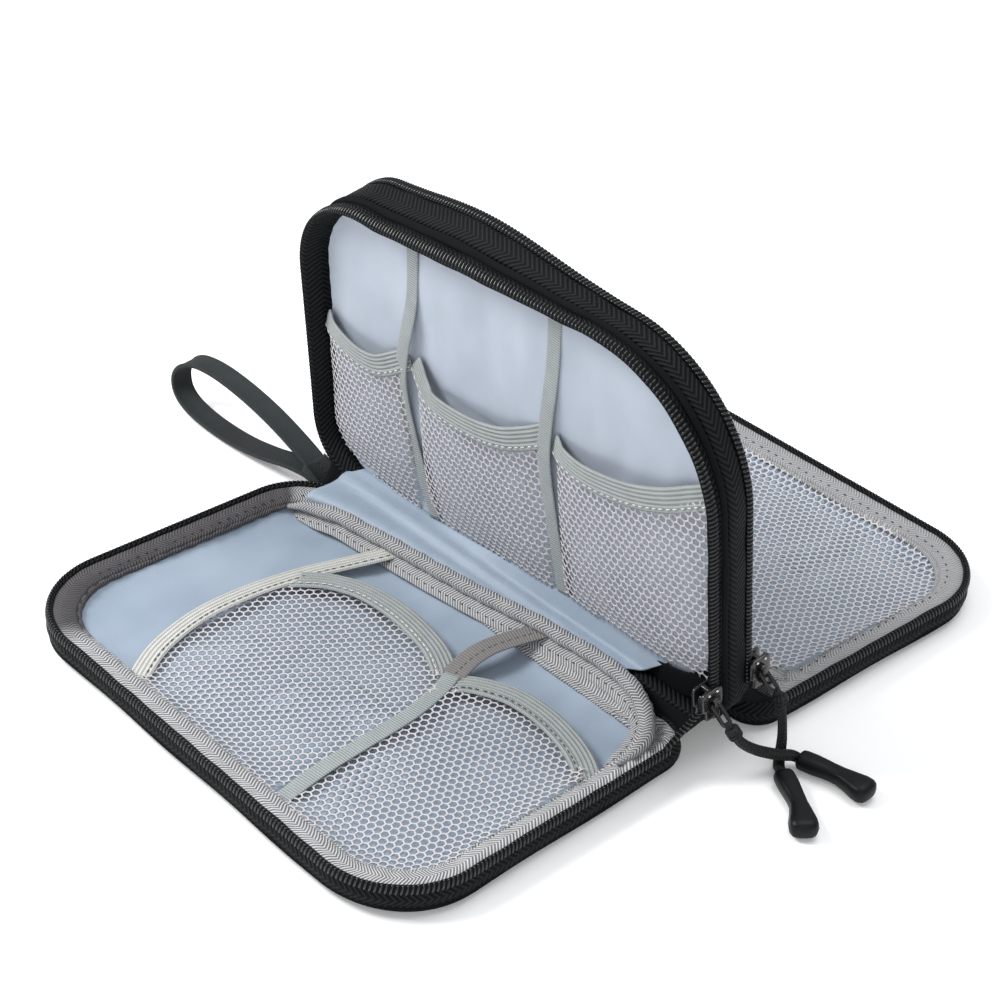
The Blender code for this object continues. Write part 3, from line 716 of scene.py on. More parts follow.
# (share of the grip's length, half width, half height)
GRIP_RINGS = (
    (0, 2.3, 1.8), (0.02, 2.9, 2.3), (0.06, 3.1, 2.5), (0.2, 3.1, 2.6), (0.42, 2.7, 2.4), (0.55, 2.75, 2.4),
    (0.7, 3.5, 2.7), (0.82, 4.2, 3), (0.91, 4.3, 3), (0.965, 3.7, 2.6), (0.99, 2.6, 1.9), (1, 1.5, 1.1),
)
GRIP_LENGTH = 27
GRIP_SIDES = 28
GRIP_SQUARE = 3.4       # 2 would be an ellipse


def grip(prefix, start, end, bend, place):
    """A moulded grip with a flat end, a waist, a bulb and a mould line along each side."""
    line = smooth_line([start, (np.array(start) + end) / 2 + bend, end], 0.5)
    run = lengths(line) / lengths(line)[-1]
    shares, wide, tall = np.transpose(GRIP_RINGS)
    _, sideways, upward = frames_along(line, (0, 0, 1))
    points = []
    for i, spot in enumerate(line):
        across = sideways[i] * np.interp(run[i], shares, wide)
        up = upward[i] * np.interp(run[i], shares, tall)
        for k, (a, b) in enumerate(circle(GRIP_SIDES)):
            squared = 1 / (abs(a) ** GRIP_SQUARE + abs(b) ** GRIP_SQUARE) ** (1 / GRIP_SQUARE)
            seam = 1.045 if k % (GRIP_SIDES // 2) == 0 else 1.0
            points.append(spot + across * a * squared * seam + up * b * squared)
    faces, uvs = tube_faces(len(line), GRIP_SIDES, run * GRIP_LENGTH, range(GRIP_SIDES + 1))
    return fix_normals(piece(prefix + "_grip", points, faces, uvs, "grip", place, prefix + "_pull_grip"))


def lump(origin, directions, shift, half, square):
    """A soft-edged block: points and faces of a superellipsoid, moved and sized along three directions."""
    rows, columns = 13, 20
    points = []
    for i in range(rows):
        tall = pi * (i / (rows - 1) - 0.5)
        for a, b in circle(columns):
            spot = Vector(origin)
            values = (cos(tall) * a, cos(tall) * b, sin(tall))
            for value, direction, moved, size in zip(values, directions, shift, half):
                spot += direction * (moved + size * copysign(abs(value) ** square, value))
            points.append(spot)
    return points, grid_faces(rows, columns, range(rows + 1), range(columns + 1), close_columns=True)[0]


def lumps(name, blocks, material, place, node=None):
    """Soft-edged blocks joined in one piece."""
    points = []
    faces = []
    for block in blocks:
        more, around = lump(*block)
        faces += [tuple(index + len(points) for index in face) for face in around]
        points += more
    uvs = [[(points[i][0] + points[i][2], points[i][1]) for i in face] for face in faces]
    made = fix_normals(piece(name, points, faces, uvs, material, place, node))
    return remeshed(made, lambda shape: bmesh.ops.remove_doubles(shape, verts=shape.verts, dist=1e-6))


OUTWARD, LEVEL, RISING = Vector((1, 0, 0)), Vector((0, LEAN_COS, LEAN_SIN)), Vector(UPRIGHT)
SLIDER_AXES = (OUTWARD, LEVEL, RISING)
# (share of the way from the inner plate to the outer one, shift, half sizes, squareness)
SLIDER_BLOCKS = (
    (1, (0, 0, 1.6), (0.75, 4.1, 3.6), 0.35), (1, (0, 0, -2.2), (0.7, 2.9, 3.4), 0.35),       # outer plate
    (0, (0, 0, 1.6), (0.55, 3.9, 3.6), 0.35), (0, (0, 0, -2.2), (0.55, 2.8, 3.2), 0.35),      # inner plate
    (0.5, (0, 0, 4.1), (2.2, 0.8, 1), 0.4),                                                 # bridge
    (1, (-0.8, -3.4, 1.2), (0.9, 0.45, 3.2), 0.4), (1, (-0.8, 3.4, 1.2), (0.9, 0.45, 3.2), 0.4),    # flanges
    (1, (1.2, 0, 2.5), (1.1, 0.95, 0.7), 0.5), (1, (1.2, 0, -2.9), (1.1, 0.95, 0.7), 0.5),    # bail's feet
    (1, (2.25, 0, -0.2), (0.5, 0.95, 3.1), 0.45),                                             # bail
)
# Painted highlights: small light metal spots on the outer plate's top edges.
SLIDER_GLINTS = tuple((1, (0.9, edge * 1.6, 4.4), (0.3, 0.5, 0.35), 0.8) for edge in (-1, 1))
TAB_BLOCKS = (((2.6, -1.35, 0), (3.7, 0.5, 0.6), 0.4), ((2.6, 1.35, 0), (3.7, 0.5, 0.6), 0.4),
              ((-0.6, 0, 0), (0.6, 1.75, 0.62), 0.5), ((5.9, 0, 0), (0.6, 1.75, 0.62), 0.5))
SLIDER_OFF = 10         # from the middle's centre plane
SLIDER_UP = 14.5        # from the hinge plane
TAB_X = 98.9
TAB_DOWN = radians(42)
TAB_REACH = 6.2


def slider(prefix, side):
    """A zip slider: two curved plates joined by a bridge, with a bail, a tab and painted highlights. Gives the tab's
    far end.
    """
    node = prefix + "_slider"
    middle = Vector((0, 0, HINGE_Z / MM)) + LEVEL * (side * SLIDER_OFF) + RISING * SLIDER_UP
    low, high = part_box(node)
    outer = middle + OUTWARD * ((high.x - CENTRE_X) / MM - 2.6)
    inner = middle + OUTWARD * ((low.x - CENTRE_X) / MM + 0.5)
    body, glint = ([(inner.lerp(outer, share), SLIDER_AXES, *others) for share, *others in blocks]
                   for blocks in (SLIDER_BLOCKS, SLIDER_GLINTS))
    lumps(node + "_body", body, "metal", pouch(node), node)
    # Painted highlights on the slider's top edges.
    lumps(node + "_glint", glint, "painted_glint", pouch(node))
    reach = OUTWARD * cos(TAB_DOWN) - RISING * sin(TAB_DOWN)
    pivot = middle + OUTWARD * TAB_X
    ring = [(pivot, (reach, LEVEL, reach.cross(LEVEL)), *block) for block in TAB_BLOCKS]
    lumps(prefix + "_pull_ring", ring, "metal", pouch(prefix + "_pull"), prefix + "_pull_tab")
    return pivot + reach * TAB_REACH


def pull(prefix, route, start, end, bend, side):
    """A slider with its tab, a twin-strand cord, a knot and a grip."""
    place = pouch(prefix + "_pull")
    tip = slider(prefix, side)
    line = smooth_line(route, 0.8)
    cord = strip(prefix + "_cord", line, CORD_SECTION, "cord", place, prefix + "_pull_cord", (0.4, 0.3, 1))
    held = grip(prefix, start, end, bend, place)
    first = Vector(line[0])
    along = (Vector(line[4]) - first).normalized()
    cross = along.cross(LEVEL).normalized()
    directions = (along.cross(cross), cross, along)
    wraps = [(Vector(line[2]), directions, (0, 0, shift), (2.3, 2.1, 1), 0.9) for shift in (-1.1, 0.2, 1.5)]
    wraps.append(((first + tip) / 2, directions, (0, 0, 0), (1.3, 1.3, 2), 0.9))
    knot = lumps(prefix + "_knot", wraps, "cord", place)
    path = [Vector(spot) for spot in place.world(line)]


pull("front", FRONT_CORD, (112.9, 11.9, 3.6), (137.5, 16.2, 3.6), (0.5, 1.2, 0), -1)
pull("back", BACK_CORD, (114.5, 2.9, 3.6), (137, -11.6, 3.6), (1.2, 0.6, 0), 1)

# ---- covers

# Profiles are (inset from the outline, d).
DEEP = HEIGHT / 2 - 4
PANEL_PROFILE = [
    (DEEP, 0.35), (30, 0.3), (12, 0.15), (5, 0.05), (2.4, 0.35), (0.6, 1.2), (-0.4, 2.4), (-0.3, 3.4), (0.6, 3.8),
    (3, 3.2), (8, 2.6), (DEEP, 2.5),
]
WALL_PROFILE = [
    (0.2, 3.4), (-0.7, 3.8), (-0.5, 4.3), (-0.95, 5), (-0.9, 6.4), (-0.4, 7.6), (0.1, 9), (0.3, 10.4),
    (0.8, 10.9), (1.3, 10.4), (1.3, 8), (1.4, 3.4),
]
TAPE_PROFILE = [(1, 9.3), (1.6, 9.7), (2.6, 9.9), (4.2, 9.8), (6, 9.4), (7.6, 8.7), (8.6, 7.9)]
BEAD_PROFILE = [(8, 7.9), (8.4, 8.3), (9, 8.2), (9.5, 7.6), (9.5, 6.9), (9, 6.5), (8.3, 6.8)]
# Painted shade: the front tape's colours where it faces away from the light.
PAINTED_SHADE_LOW, PAINTED_SHADE_HIGH = (0.022, 0.02, 0.022), (0.1, 0.094, 0.1)


def paint_shade(name, start, end):
    """Paints shade on a tape: darkens it along the stretch between two lengths, where it faces away from the light.
    """
    made = SHADERS[name]
    light = made.surface.inputs["Base Color"].links[0].from_socket
    ribs = light.node.inputs["Factor"].links[0].from_socket
    share = made.math("SUBTRACT", made.ramp(made.u, start, start + 12), made.ramp(made.u, end, end + 5))
    made.colour(share, light, made.colour(ribs, PAINTED_SHADE_LOW, PAINTED_SHADE_HIGH))


def rim_distance(x, v):
    """How far a point of a cover lies inside its outline."""
    radius = COVER_CORNERS[1]
    a, b = HALF_WIDTH - abs(x), HEIGHT - v
    if a < radius and b < radius:
        return radius - hypot(radius - a, radius - b)
    return min(a, b, v - COVER_START)


def bowl(x, v):
    """How much the lining climbs towards the tape round a cover's rim."""
    return 3.2 * max(0, 1 - (max(rim_distance(x, v), 7) - 7) / 11) ** 2


def cover(prefix, place, seed, stitched):
    """One cover: padded panel, tape wall, coil, inner tapes and lining. stitched(x, v) tells where thread shows."""
    node = prefix + "_cover_"

    def panel_ripple(s, k, x, v):
        return (0.25 * sin(s * 0.11 + seed), 0) if 1 < k < 7 else (0, 0)

    def wall_ripple(s, k, x, v):
        return 0.15 * sin(s * 0.35 + seed) * sin(s * 0.083), 0.0

    def tape_ripple(s, k, x, v):
        corner = 1.0 if (x > 70 and v < 34) else 0.3
        swell = 0.5 * fold_noise(s * 0.6, k * 0.5, 0.12, seed)
        return 0.3 * corner * sin(s * 0.8 + k), (0.5 * corner * sin(s + k * 0.4) + swell) * (k > 1)

    panel = sweep(prefix + "_panel", COVER, PANEL_PROFILE, "black_fabric", place, node + "panel", False,
                  panel_ripple, cap=True)
    sweep(prefix + "_wall", COVER, WALL_PROFILE, "black_herringbone", place, node + "wall", ripple=wall_ripple)
    rim_coil(prefix + "_coil", COVER, COVER.part(-76, 11), 9.9, place, node + "zip_chain")
    tape = sweep(prefix + "_inner_tape", COVER, TAPE_PROFILE, prefix + "_tape", place, node + "binding", False,
                 tape_ripple)
    thicken(tape, 0.5, 0)
    sweep(prefix + "_bead", COVER, BEAD_PROFILE, prefix + "_tape", place, ripple=tape_ripple)
    # The cover's lining takes the darker copy of the lining: painted shade.
    lining = sheet(prefix + "_lining", COVER, 4.5, lambda x, v: 3.9 + bowl(x, v), "cover_lining", place,
                   node + "lining", seed, 0.9)
    line = [(*COVER.reach(i, 6.4), 9.3) for i in COVER.part(-70, 10) if stitched(*COVER.points[i])]
    stitches(prefix + "_tape_stitches", line, 0, "dark_thread", place, pitch=3.6, length=1.1, width=0.5, lift=0.3)


# Painted shade on the front cover's tape along its short strap side, which faces away from the light.
short_side = [COVER.run[index] for index in COVER.where(lambda x, v: x < -75 and v < 108)]
paint_shade("front_tape", short_side[0] - 33, short_side[-1] - 21)
cover("front", FRONT, 3, lambda x, v: x < 0 and v < 95)
cover("back", BACK, 11, lambda x, v: True)

ELASTIC_THICK = 0.9


def elastic(name, path, place, node, width=ELASTIC_WIDTH, ribs=ELASTIC_RIBS, material="elastic",
            thread="white_thread", seam=0.3):
    """A ribbed elastic with a row of stitches along it."""
    line = smooth_line(path, 1.3)
    strip(name, line, ribbed_section(width, ELASTIC_THICK, ribs), material, place, node, flat=True)
    stitches(name + "_stitches", line, width * seam, thread, place, lift=ELASTIC_THICK / 2 + 0.28, length=1.6,
             pitch=2.7)


def ribbon(name, path, place, node=None, width=5.5, material="ribbon"):
    strip(name, smooth_line(path, 1.3), flat_section(width, 0.6), material, place, node)


WIDE_MOUTH = [(-50, 44.5, 7.4), (-46, 41.2, 8.4), (-38.8, 35.6, 9), (-27, 31, 9.4), (-10, 29.8, 9.4),
              (6.8, 32, 8.8), (17, 35.6, 7.6), (21, 38.5, 6.8)]
CORNER_MOUTH = [(24.5, 38.5, 6.8), (28, 35.5, 7.8), (35.5, 32.2, 8.8), (45, 29.6, 9.4), (58, 29.1, 9.4),
                (71, 31, 9), (80, 33.8, 8.2), (88, 38, 7)]
BACK_MOUTH = [(-87, 24, 7), (-60, 20, 8.6), (-20, 18, 9.2), (20, 18, 9.2), (60, 20, 8.6), (87, 24, 7)]
FREE_END = [(21.8, 36.2, 7.6), (20.6, 28, 9.6), (21.2, 20, 11), (24, 10.4, 11.8), (27.5, 3, 13)]
RIBBON_SIDE = [(24.6, 43.5), (28, 58), (29.8, 78.6), (31, 94)]
STRAP_SIDE = [(-41, 107), (-47, 96), (-51.6, 78), (-51.8, 59)]

elastic("front_long_elastic",
        [(-36.5, 113, 5), (-40.5, 108, 6.2), (-47, 96, 7.4), (-51.6, 78, 8.2), (-51.8, 59, 8.4), (-49.6, 40, 8),
         (-45, 23.5, 8), (-39.5, 10, 9.4), (-37, 4.5, 11.6)],
        FRONT, "front_cover_long_elastic", LONG_ELASTIC_WIDTH, LONG_ELASTIC_RIBS, "pale_elastic", "dark_thread")
elastic("front_wide_elastic", WIDE_MOUTH, FRONT, "front_cover_wide_elastic")
elastic("front_corner_elastic", CORNER_MOUTH, FRONT, "front_cover_corner_elastic", thread="dark_thread")
ribbon("front_ribbon",
       [(33.6, 114, 4.6), (33, 110, 5.6), (31, 94, 6.8), (29.8, 78.6, 7.2), (28, 58, 7.4), (24.6, 43.5, 7.6),
        (21.8, 36, 8)],
       FRONT, "front_cover_ribbon")
ribbon("front_ribbon_free", FREE_END, FRONT, width=8, material="brown_ribbon")
stitches("front_ribbon_stitches", smooth_line(FREE_END, 1.3), 0.6, "dark_thread", FRONT, lift=0.4, pitch=2.4,
         length=1.4, width=0.3)


def slack(rim, seed):
    """A cover netting's height: low at the sewn edges, higher towards its elastic mouth."""
    def height(x, v):
        return 5.7 + 2.4 * max(0, 1 - abs(v - rim) / 80) + 0.5 * fold_noise(x, v, 0.05, seed) + bowl(x, v)
    return height


def flat_path(path):
    return [(x, v) for x, v, d in path]


def rim_points(outline, inset, test, key):
    """Every other point of an outline moved inwards, if it passes a test, in order of the key."""
    found = [outline.reach(index, inset) for index in range(0, outline.count, 2)]
    return sorted([spot for spot in found if test(*spot)], key=key)


wide_far = rim_points(COVER, 7.4, lambda x, v: -37 < x < 33 and v > 60, lambda spot: -spot[0])
corner_far = rim_points(COVER, 7.4, lambda x, v: x > 34 and v > 39, lambda spot: spot[1] - 60 - spot[0] * 1.2)
back_far = [COVER.reach(index, 7.2) for index in COVER.part(-60, 24) if COVER.points[index][1] > 24]
netting("front_wide_netting", flat_path(WIDE_MOUTH) + RIBBON_SIDE + wide_far + STRAP_SIDE, slack(30, 2), FRONT,
        "front_cover_wide_pocket", turn=0.1)
netting("front_corner_netting", flat_path(CORNER_MOUTH) + corner_far + RIBBON_SIDE[::-1], slack(30, 5), FRONT,
        "front_cover_corner_pocket", turn=-0.15)
netting("back_netting", flat_path(BACK_MOUTH) + back_far, slack(22, 9), BACK, "back_cover_pocket", turn=0.05)
elastic("back_elastic", BACK_MOUTH, BACK, "back_cover_elastic")

# ---- middle

INNER_WALL = {9: 1.3, 10: 4.4}      # how far the wall profile's last points slope in on the strap side


def middle_half(name, place, seed, wall_start, last_x):
    """Wall, coil and lining of one side of the middle."""
    def ripple(s, k, x, v):
        slope = INNER_WALL.get(k, 0) * np.clip((-64 - x) / 22, 0, 1)
        return 0.2 * sin(s * 0.3 + seed) * sin(s * 0.07) + slope, 0.0

    profile = [
        (0.5, wall_start), (-0.5, wall_start + 0.4), (-0.9, wall_start + 1), (-0.8, 4.6), (-0.4, 5.2), (0.1, 6.4),
        (0.3, 8), (0.9, 8.5), (1.4, 8), (1.5, 6), (1.6, 1.4),
    ]
    sweep(name + "_wall_tape", MIDDLE, profile, "black_herringbone", place, name + "_wall", ripple=ripple)
    rim_coil(name + "_coil", MIDDLE, MIDDLE.part(last_x, 11), 7.2, place, name + "_zip_chain")
    lining = sheet(name + "_lining_sheet", MIDDLE, 1.4, lambda x, v: 1.6, "lining", place, name + "_lining", seed,
                   0.7)


def band_ripple(s, k, x, v):
    return 0.35 * sin(s * 0.16) * sin(s * 0.045 + 1), 0.0


middle_half("middle_front", MIDDLE_FRONT, 5, 3.9, -66)
middle_half("middle_back", MIDDLE_BACK, 8, -1.7, -76)
sweep("partition_core", MIDDLE, [(1.4, -0.6), (1, 0), (1.4, 0.6), (DEEP, 0.6), (DEEP, -0.6)], "black_fabric",
      MIDDLE_FRONT, "partition_board")
sweep("middle_soft_band", MIDDLE,
      [(0.8, 1.5), (-0.4, 1.6), (-1.1, 2.2), (-1.2, 3), (-0.7, 3.8), (0.3, 4.2), (0.9, 3.4)], "black_fabric",
      MIDDLE_FRONT, "seam_piping", ripple=band_ripple)

# (suffix, mouth, lowest v at its left and right end)
FRONT_POCKETS = (
    ("strap_side", [(-90, 62.6, 3), (-85, 60.8, 4.9), (-78, 59.5, 6.2), (-68, 58, 6.8), (-58, 59, 6.4),
                    (-49, 63.5, 4.6), (-44.5, 66, 2.8)], 2.5, 2.5),
    ("centre", [(-41.5, 66, 2.8), (-35, 60.5, 5), (-28, 57.5, 6.6), (-11, 58, 7.2), (4, 61, 6.8), (15, 65.5, 4.8),
                (21, 68.5, 2.8)], 2.5, 8.5),
    ("pull_side", [(25, 67.5, 2.8), (31, 66, 5), (43, 66.5, 6.8), (60, 70, 7.2), (74, 75, 6.4), (85, 80.5, 4.4),
                   (92, 84, 2.8)], 8.5, 12),
)


def pocket_shape(path, low_left, low_right, strap_inset):
    """A middle pocket's outline: its mouth, then down one end, along the bottom and up the other."""
    left, right = path[0][0], path[-1][0]
    shape = flat_path(path)
    if right > 60:
        shape += rim_points(MIDDLE, 1.8, lambda x, v: x > 60 and low_right < v < path[-1][1], lambda spot: -spot[1])
    shape += [(min(right, 74), low_right), (max(left, -74), low_left)]
    if left < -60:
        shape += rim_points(MIDDLE, strap_inset, lambda x, v: x < -60 and low_left < v < path[0][1],
                            lambda spot: spot[1])
    return shape


def middle_pocket(half, place, suffix, path, floors, strap_inset, nodes):
    """A netting pocket and the elastic along its mouth. nodes starts the names of the CAD nodes they stand for."""
    left, right = path[0][0], path[-1][0]

    def belly(x, v):
        side = max(0, 1 - ((2 * x - left - right) / (right - left)) ** 2)
        return 2.4 + 4.3 * sqrt(side) * min(1, max(0, v - 4) / 18) + 0.4 * fold_noise(x, v, 0.06, left)

    netting(f"{half}_netting_{suffix}", pocket_shape(path, *floors, strap_inset), belly, place,
            f"{nodes}_pocket_{suffix}")
    elastic(f"{half}_elastic_{suffix}", path, place, f"{nodes}_elastic_{suffix}", seam=-0.3)


for suffix, mouth, *floors in FRONT_POCKETS:
    middle_pocket("middle_front", MIDDLE_FRONT, suffix, mouth, floors, 5.2, "middle")
for suffix, left, right in (("strap_side", -92, -2), ("pull_side", 2, 92)):
    mouth = [(left, 64, 2.8), (left + 7, 61.5, 5.4), ((left + right) / 2, 59.5, 7), (right - 7, 61.5, 5.4),
             (right, 64, 2.8)]
    middle_pocket("middle_back", MIDDLE_BACK, suffix, mouth, (4, 4), 1.8, "middle_back")
ribbon("middle_ribbon_band_strap_side",
       [(-38, 4, 2.6), (-42, 17.5, 3), (-46, 35, 3.6), (-48, 54, 4.4), (-46, 68, 4.4), (-40.5, 92, 2.7),
        (-38, 117.5, 2.4)],
       MIDDLE_FRONT, "middle_ribbon_strap_side")
ribbon("middle_ribbon_band_pull_side",
       [(25, 9, 2.6), (22, 34, 3.2), (21, 58, 4.2), (22, 72, 3.8), (25.5, 95, 2.6), (28, 117.5, 2.4)],
       MIDDLE_FRONT, "middle_ribbon_pull_side")
ribbon("middle_back_ribbon_band", [(0, 4, 3), (0, 40, 3.4), (0, 62, 3.8), (0, 90, 2.7), (0, 117.5, 2.4)],
       MIDDLE_BACK, "middle_back_ribbon")
strip("middle_corner_binding", smooth_line([(58, 3.5, 2.8), (70, 4.5, 3.2), (82, 7.5, 3.2), (91, 14, 3)]),
      flat_section(9, 0.8), "black_fabric", MIDDLE_FRONT)

# ---- wrist strap

SELVEDGE = ((-0.5, 0.5), (-0.46, 0.75), (-0.4, 0.5), (0.4, 0.5), (0.46, 0.75), (0.5, 0.5))


def loop_section(width, thickness):
    """Webbing's cross-section, thicker along both edges."""
    return [(face * thickness * t, face * width * w) for face in (1, -1) for w, t in SELVEDGE]


STRAP_LINE = [
    (-88, -9, 7), (-93, -8.8, 10.4), (-104, -8.4, 14.2), (-120, -8, 18.2), (-136, -8, 20.8), (-152, -8.2, 21.8),
    (-164, -8.8, 20.6), (-171, -9.6, 17), (-173.5, -10.6, 12), (-170.5, -11.8, 6.6), (-162, -12.4, 3.4),
    (-148, -12.6, 2.4), (-132, -12.2, 3), (-118, -11.4, 5), (-106, -10.4, 7.4), (-95, -9.6, 8.2),
    (-88, -9.2, 5.4),
]
strap = strip("strap_loop", smooth_line(STRAP_LINE), loop_section(8, 1.2), "webbing", pouch(), "wrist_strap",
              up=(0, 1, 0.12))
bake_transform(strap)
tab_line = smooth_line([(-96.5, -9, 11.4), (-92, -8.6, 9), (-88, -8, 6.6), (-84, -7, 6)], 1)
strip("strap_tab", tab_line, loop_section(9.5, 3.4), "webbing", pouch("middle"), "strap_anchor", up=(0, 1, 0.1))
stitches("strap_stitches", tab_line, 0, "dark_thread", pouch("middle"), up=(0.4, 0, 1), lift=2, pitch=2.2,
         length=1.3)

# ---- hinges

FRONT_PIPING = [
    (-89, -31, 6.6), (-84, -28.6, 7.8), (-78, -26, 9.6), (-70, -23.6, 10.7), (-58, -21.4, 11.2),
    (-40, -19.6, 11.6), (-20, -17.8, 12.2), (0, -16.2, 13), (20, -13.8, 14), (40, -12.4, 14.8), (55, -12.2, 15.2),
    (66, -13.4, 14.8), (75, -16.6, 13.4), (81.5, -21.5, 12), (85, -28, 10.8), (86.5, -38, 10.2),
]
BACK_PIPING = [(x, 16.5 + (abs(x) / 90) ** 4 * 14, 11.4 - (abs(x) / 90) ** 4 * 2) for x in np.linspace(-90, 90, 17)]
UNDERSIDE = [(11.7, 2.4), (10.5, 2.6), (9.4, 4), (8.8, 6.5), (8.6, 9.6), (8.4, 12.2)]    # (y, z)
LINING_COLUMNS = 14
FABRIC_ROWS = 80


def blend(made, side, start, end):
    """Bakes a piece's transform into its mesh. start and end, (distance from the middle plane, z) in metres, are not
    used.
    """
    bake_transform(made)


def blended_sheet(name, side, spots, along, across, material, thickness, start, end):
    """A thin sheet from rows of points."""
    faces, uvs = grid_faces(len(along) - 1, len(across) - 1, along, across)
    made = piece(name, spots, faces, uvs, material, pouch())
    thicken(made, thickness, 0)
    blend(made, side, start, end)


def piping(prefix, side, line, length):
    """The piping between a cover and the middle, and the stitched tape below it."""
    def tapered(s):
        return min(1, 0.15 + s / 22, 0.25 + (length - s) / 13)

    def crease(s, a, b):
        pinch = (1 + 0.05 * sin(s * 1.7) + 0.05 * sin(s * 0.6 + 1)) * tapered(s)
        return a * pinch, b * pinch

    bead = strip(prefix + "_hinge_piping", line, [(2.7 * a, 2.3 * b) for a, b in circle(14)], "ridge", pouch(),
                 prefix + "_cover_hinge_tape", ripple=crease)
    blend(bead, side, (0.0085, 0.013), (0.0155, 0.013))
    x, y, z = line.T
    out = 3.1 * np.clip(1.3 - np.abs(x) / 88, 0, 1) - 1.4 * np.clip((-74 - x) / 12, 0, 1)
    lower = np.stack([x - 3.2 * np.clip((x - 76) / 8, 0, 1), y + side * out, z - 3.4], axis=1)
    up = (0, side * 0.62, 0.78)
    place = pouch(prefix + "_cover")
    strip(prefix + "_hinge_tape", lower, flat_section(6.6, 0.7), "light_tape", place, up=up,
          ripple=lambda s, a, b: (a * tapered(s), b))
    stitches(prefix + "_hinge_stitches", lower, 1.2 * side, "dark_thread", place, up=up, lift=0.4, pitch=3.4,
             length=1.2)


def hinge_lining(prefix, side, line):
    """The lining strip from the piping up to the middle's lining."""
    xs = np.linspace(-80, 72, 100)
    rise = np.interp(xs, [-80, -40, 24, 60, 72], [4, 3, 9.5, 12, 11]) if side < 0 else np.full(len(xs), 6)
    crest = 15.1 if side < 0 else 17.2
    spots = []
    for x, y, z, top in zip(xs, *(np.interp(xs, line[:, 0], line[:, k]) for k in (1, 2)), rise):
        low_y, low_z = y - side * 3.4, max(z - 2.6, 13.2)
        end_y = side * 2.0 * LEAN_COS - top * LEAN_SIN
        end_z = HINGE_Z / MM + side * 2.0 * LEAN_SIN + top * LEAN_COS
        curve = smooth_line([(y - side * 1.5, z - 1), (low_y, low_z),
                             ((low_y + end_y) / 2, min(low_z, end_z) + 0.2), (end_y, end_z)], 0.8)
        curve[:, 1] = np.maximum(curve[:, 1], np.interp(np.abs(curve[:, 0]), [9.3, 12.5], [crest, 11.5]))
        along = lengths(curve) / lengths(curve)[-1]
        for t in np.linspace(min(max((x - 57) / 16, 0), 0.95), 1, LINING_COLUMNS):
            lift = 0.5 * abs(fold_noise(x, t * 8, 0.12, side))
            spots.append((x, np.interp(t, along, curve[:, 0]), np.interp(t, along, curve[:, 1]) + lift))
    # Painted shade: the strip takes the darker copy of the lining.
    blended_sheet(prefix + "_hinge_lining", side, spots, [*xs, 0], [k * 0.8 for k in range(LINING_COLUMNS + 1)],
                  "cover_lining", 0.4, (0.004, 0.015), (0.0135, 0.015))


def hinge_fabric(prefix, side):
    """Black fabric under the hinge."""
    fine = even_line([(side * y, z) for y, z in UNDERSIDE], 0.9)
    spots = [(x, y, z) for x in np.linspace(-80, 82, FABRIC_ROWS) for y, z in fine]
    blended_sheet(prefix + "_hinge_fabric", side, spots, range(0, 2 * FABRIC_ROWS + 1, 2),
                  [k * 0.9 for k in range(len(fine) + 1)], "black_fabric", 0.5, (0.0085, 0.012), (0.0105, 0.003))


ARC_POINTS = 14
GUSSET_ROWS = 10


def corner_arc(outline, depth, place, right, reach):
    """Points round a half's hinge corner, from the short side to the hinge side, in the pouch's frame."""
    chosen = outline.where(lambda x, v: v < reach and (x > 60 if right else x < -60))
    chosen.sort(key=lambda i: -outline.points[i][1] + abs(outline.points[i][0]) * -0.4)
    line = even_line([(*outline.reach(i, 0.8), depth) for i in chosen], 0.2)
    picks = np.linspace(0, len(line) - 1, ARC_POINTS).round().astype(int)
    return place.world(line[picks]) / MM - (CENTRE_X / MM, 0, 0)


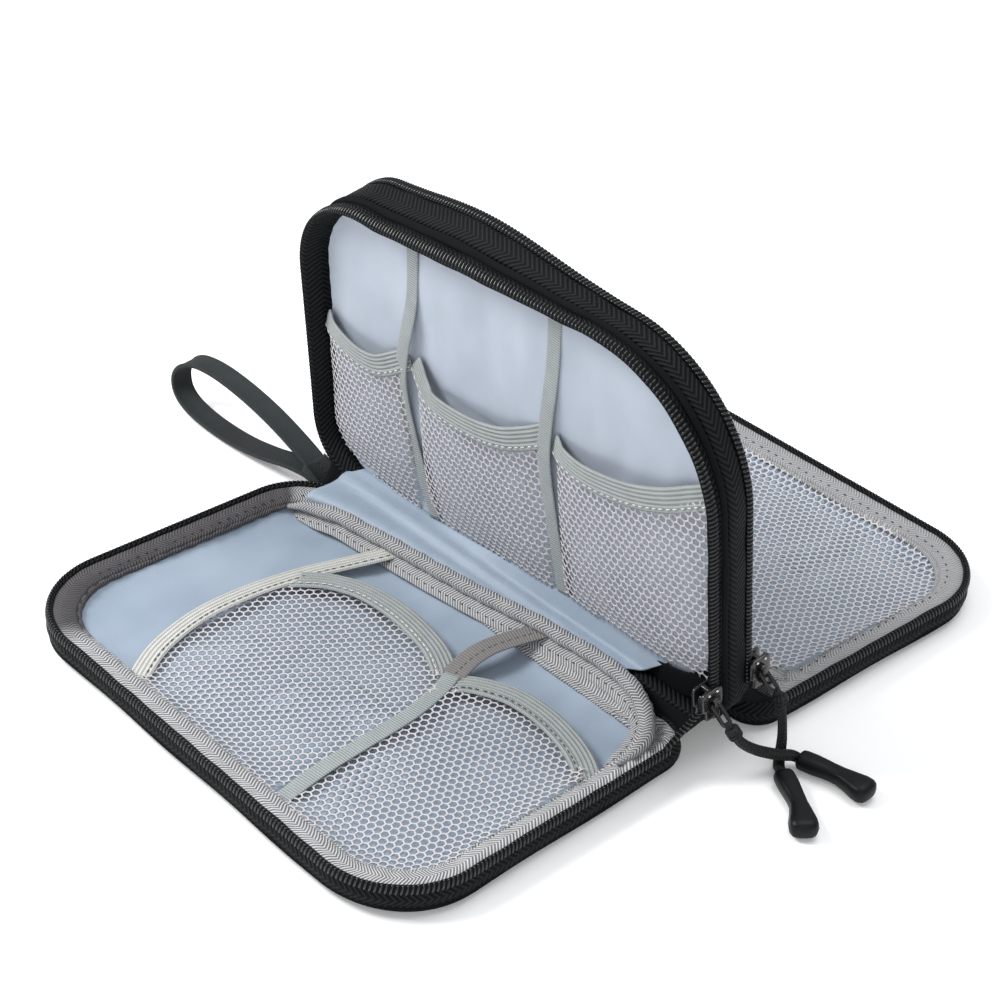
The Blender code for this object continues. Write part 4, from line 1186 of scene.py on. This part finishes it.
def gusset(prefix, side, right):
    """Black fabric between a cover's hinge corner and the middle's, with a short coil on the pull side."""
    cover_place, middle_place = (FRONT, MIDDLE_FRONT) if side < 0 else (BACK, MIDDLE_BACK)
    reach = 13 if right else 6
    near = corner_arc(COVER, 10.4, cover_place, right, reach)
    far = corner_arc(MIDDLE, 8, middle_place, right, reach)
    spots = []
    for k in range(GUSSET_ROWS):
        share = k / (GUSSET_ROWS - 1)
        sag = sin(pi * share) * 1.6
        spots += list(near * (1 - share) + far * share - (sag * (0.6 if right else -0.6), 0, sag))
    ends = (0.0095, 0.016), (0.0165, 0.0115)
    blended_sheet(f"{prefix}_gusset_{'pull' if right else 'strap'}_side", side, spots,
                  [k * 1.5 for k in range(GUSSET_ROWS + 1)], [k * 1.2 for k in range(ARC_POINTS + 1)],
                  "black_fabric", 0.7, *ends)
    if not right:
        return
    route = smooth_line([spots[k * ARC_POINTS] + (0.5, 0, 0.2) for k in range(0, GUSSET_ROWS, 3)], 0.8)
    share = np.linspace(0, 1, len(route))[:, None]
    outward = np.tile((1, 0, 0), (len(route), 1))
    upward = np.array([0, 0, 1]) * (1 - share) + np.array([0, side, 0.25]) * share
    for link in coil(prefix + "_corner_coil", route, outward, upward, pouch()):
        blend(link, side, *ends)


for prefix, side, piping_line in (("front", -1, FRONT_PIPING), ("back", 1, BACK_PIPING)):
    line = smooth_line(piping_line, 1.2)
    run = lengths(line)
    line[:, 2] += [fold_noise(s, 0, 0.09, side) * 0.5 for s in run]
    piping(prefix, side, line, run[-1])
    hinge_lining(prefix, side, line)
    hinge_fabric(prefix, side)
    gusset(prefix, side, True)
    gusset(prefix, side, False)

# ---- floor, light

floor_mesh = bpy.data.meshes.new("floor")
floor_mesh.from_pydata([(-3, -3, 0), (3, -3, 0), (3, 3, 0), (-3, 3, 0)], [], [(0, 1, 2, 3)])
paint = bpy.data.materials.new("floor")
paint.use_nodes = True
fill(paint.node_tree.nodes["Principled BSDF"], Base_Color=(0.95, 0.95, 0.95, 1), Roughness=0.9,
     Emission_Color=(1, 1, 1, 1), Emission_Strength=0.12)
floor_mesh.materials.append(paint)
add_object("floor", floor_mesh)

world = bpy.data.worlds.new("world")
bpy.context.scene.world = world
world.use_nodes = True
fill(world.node_tree.nodes["Background"], Color=(0.95, 0.97, 1, 1), Strength=0.5)
for name, spot, size, power in (("key", (-0.6, -0.55, 0.85), 0.45, 13), ("fill", (0.9, -0.7, 0.6), 0.9, 3),
                                ("top", (0.1, 0.3, 1.1), 0.8, 6)):
    data = bpy.data.lights.new(name, "AREA")
    data.shape = "SQUARE"
    data.size = size
    data.energy = power
    lamp = add_object(name, data)
    lamp.location = spot
    lamp.rotation_euler = (Vector((0, 0, 0.03)) - lamp.location).to_track_quat("-Z", "Y").to_euler()
bpy.context.scene.view_settings.view_transform = "Standard"
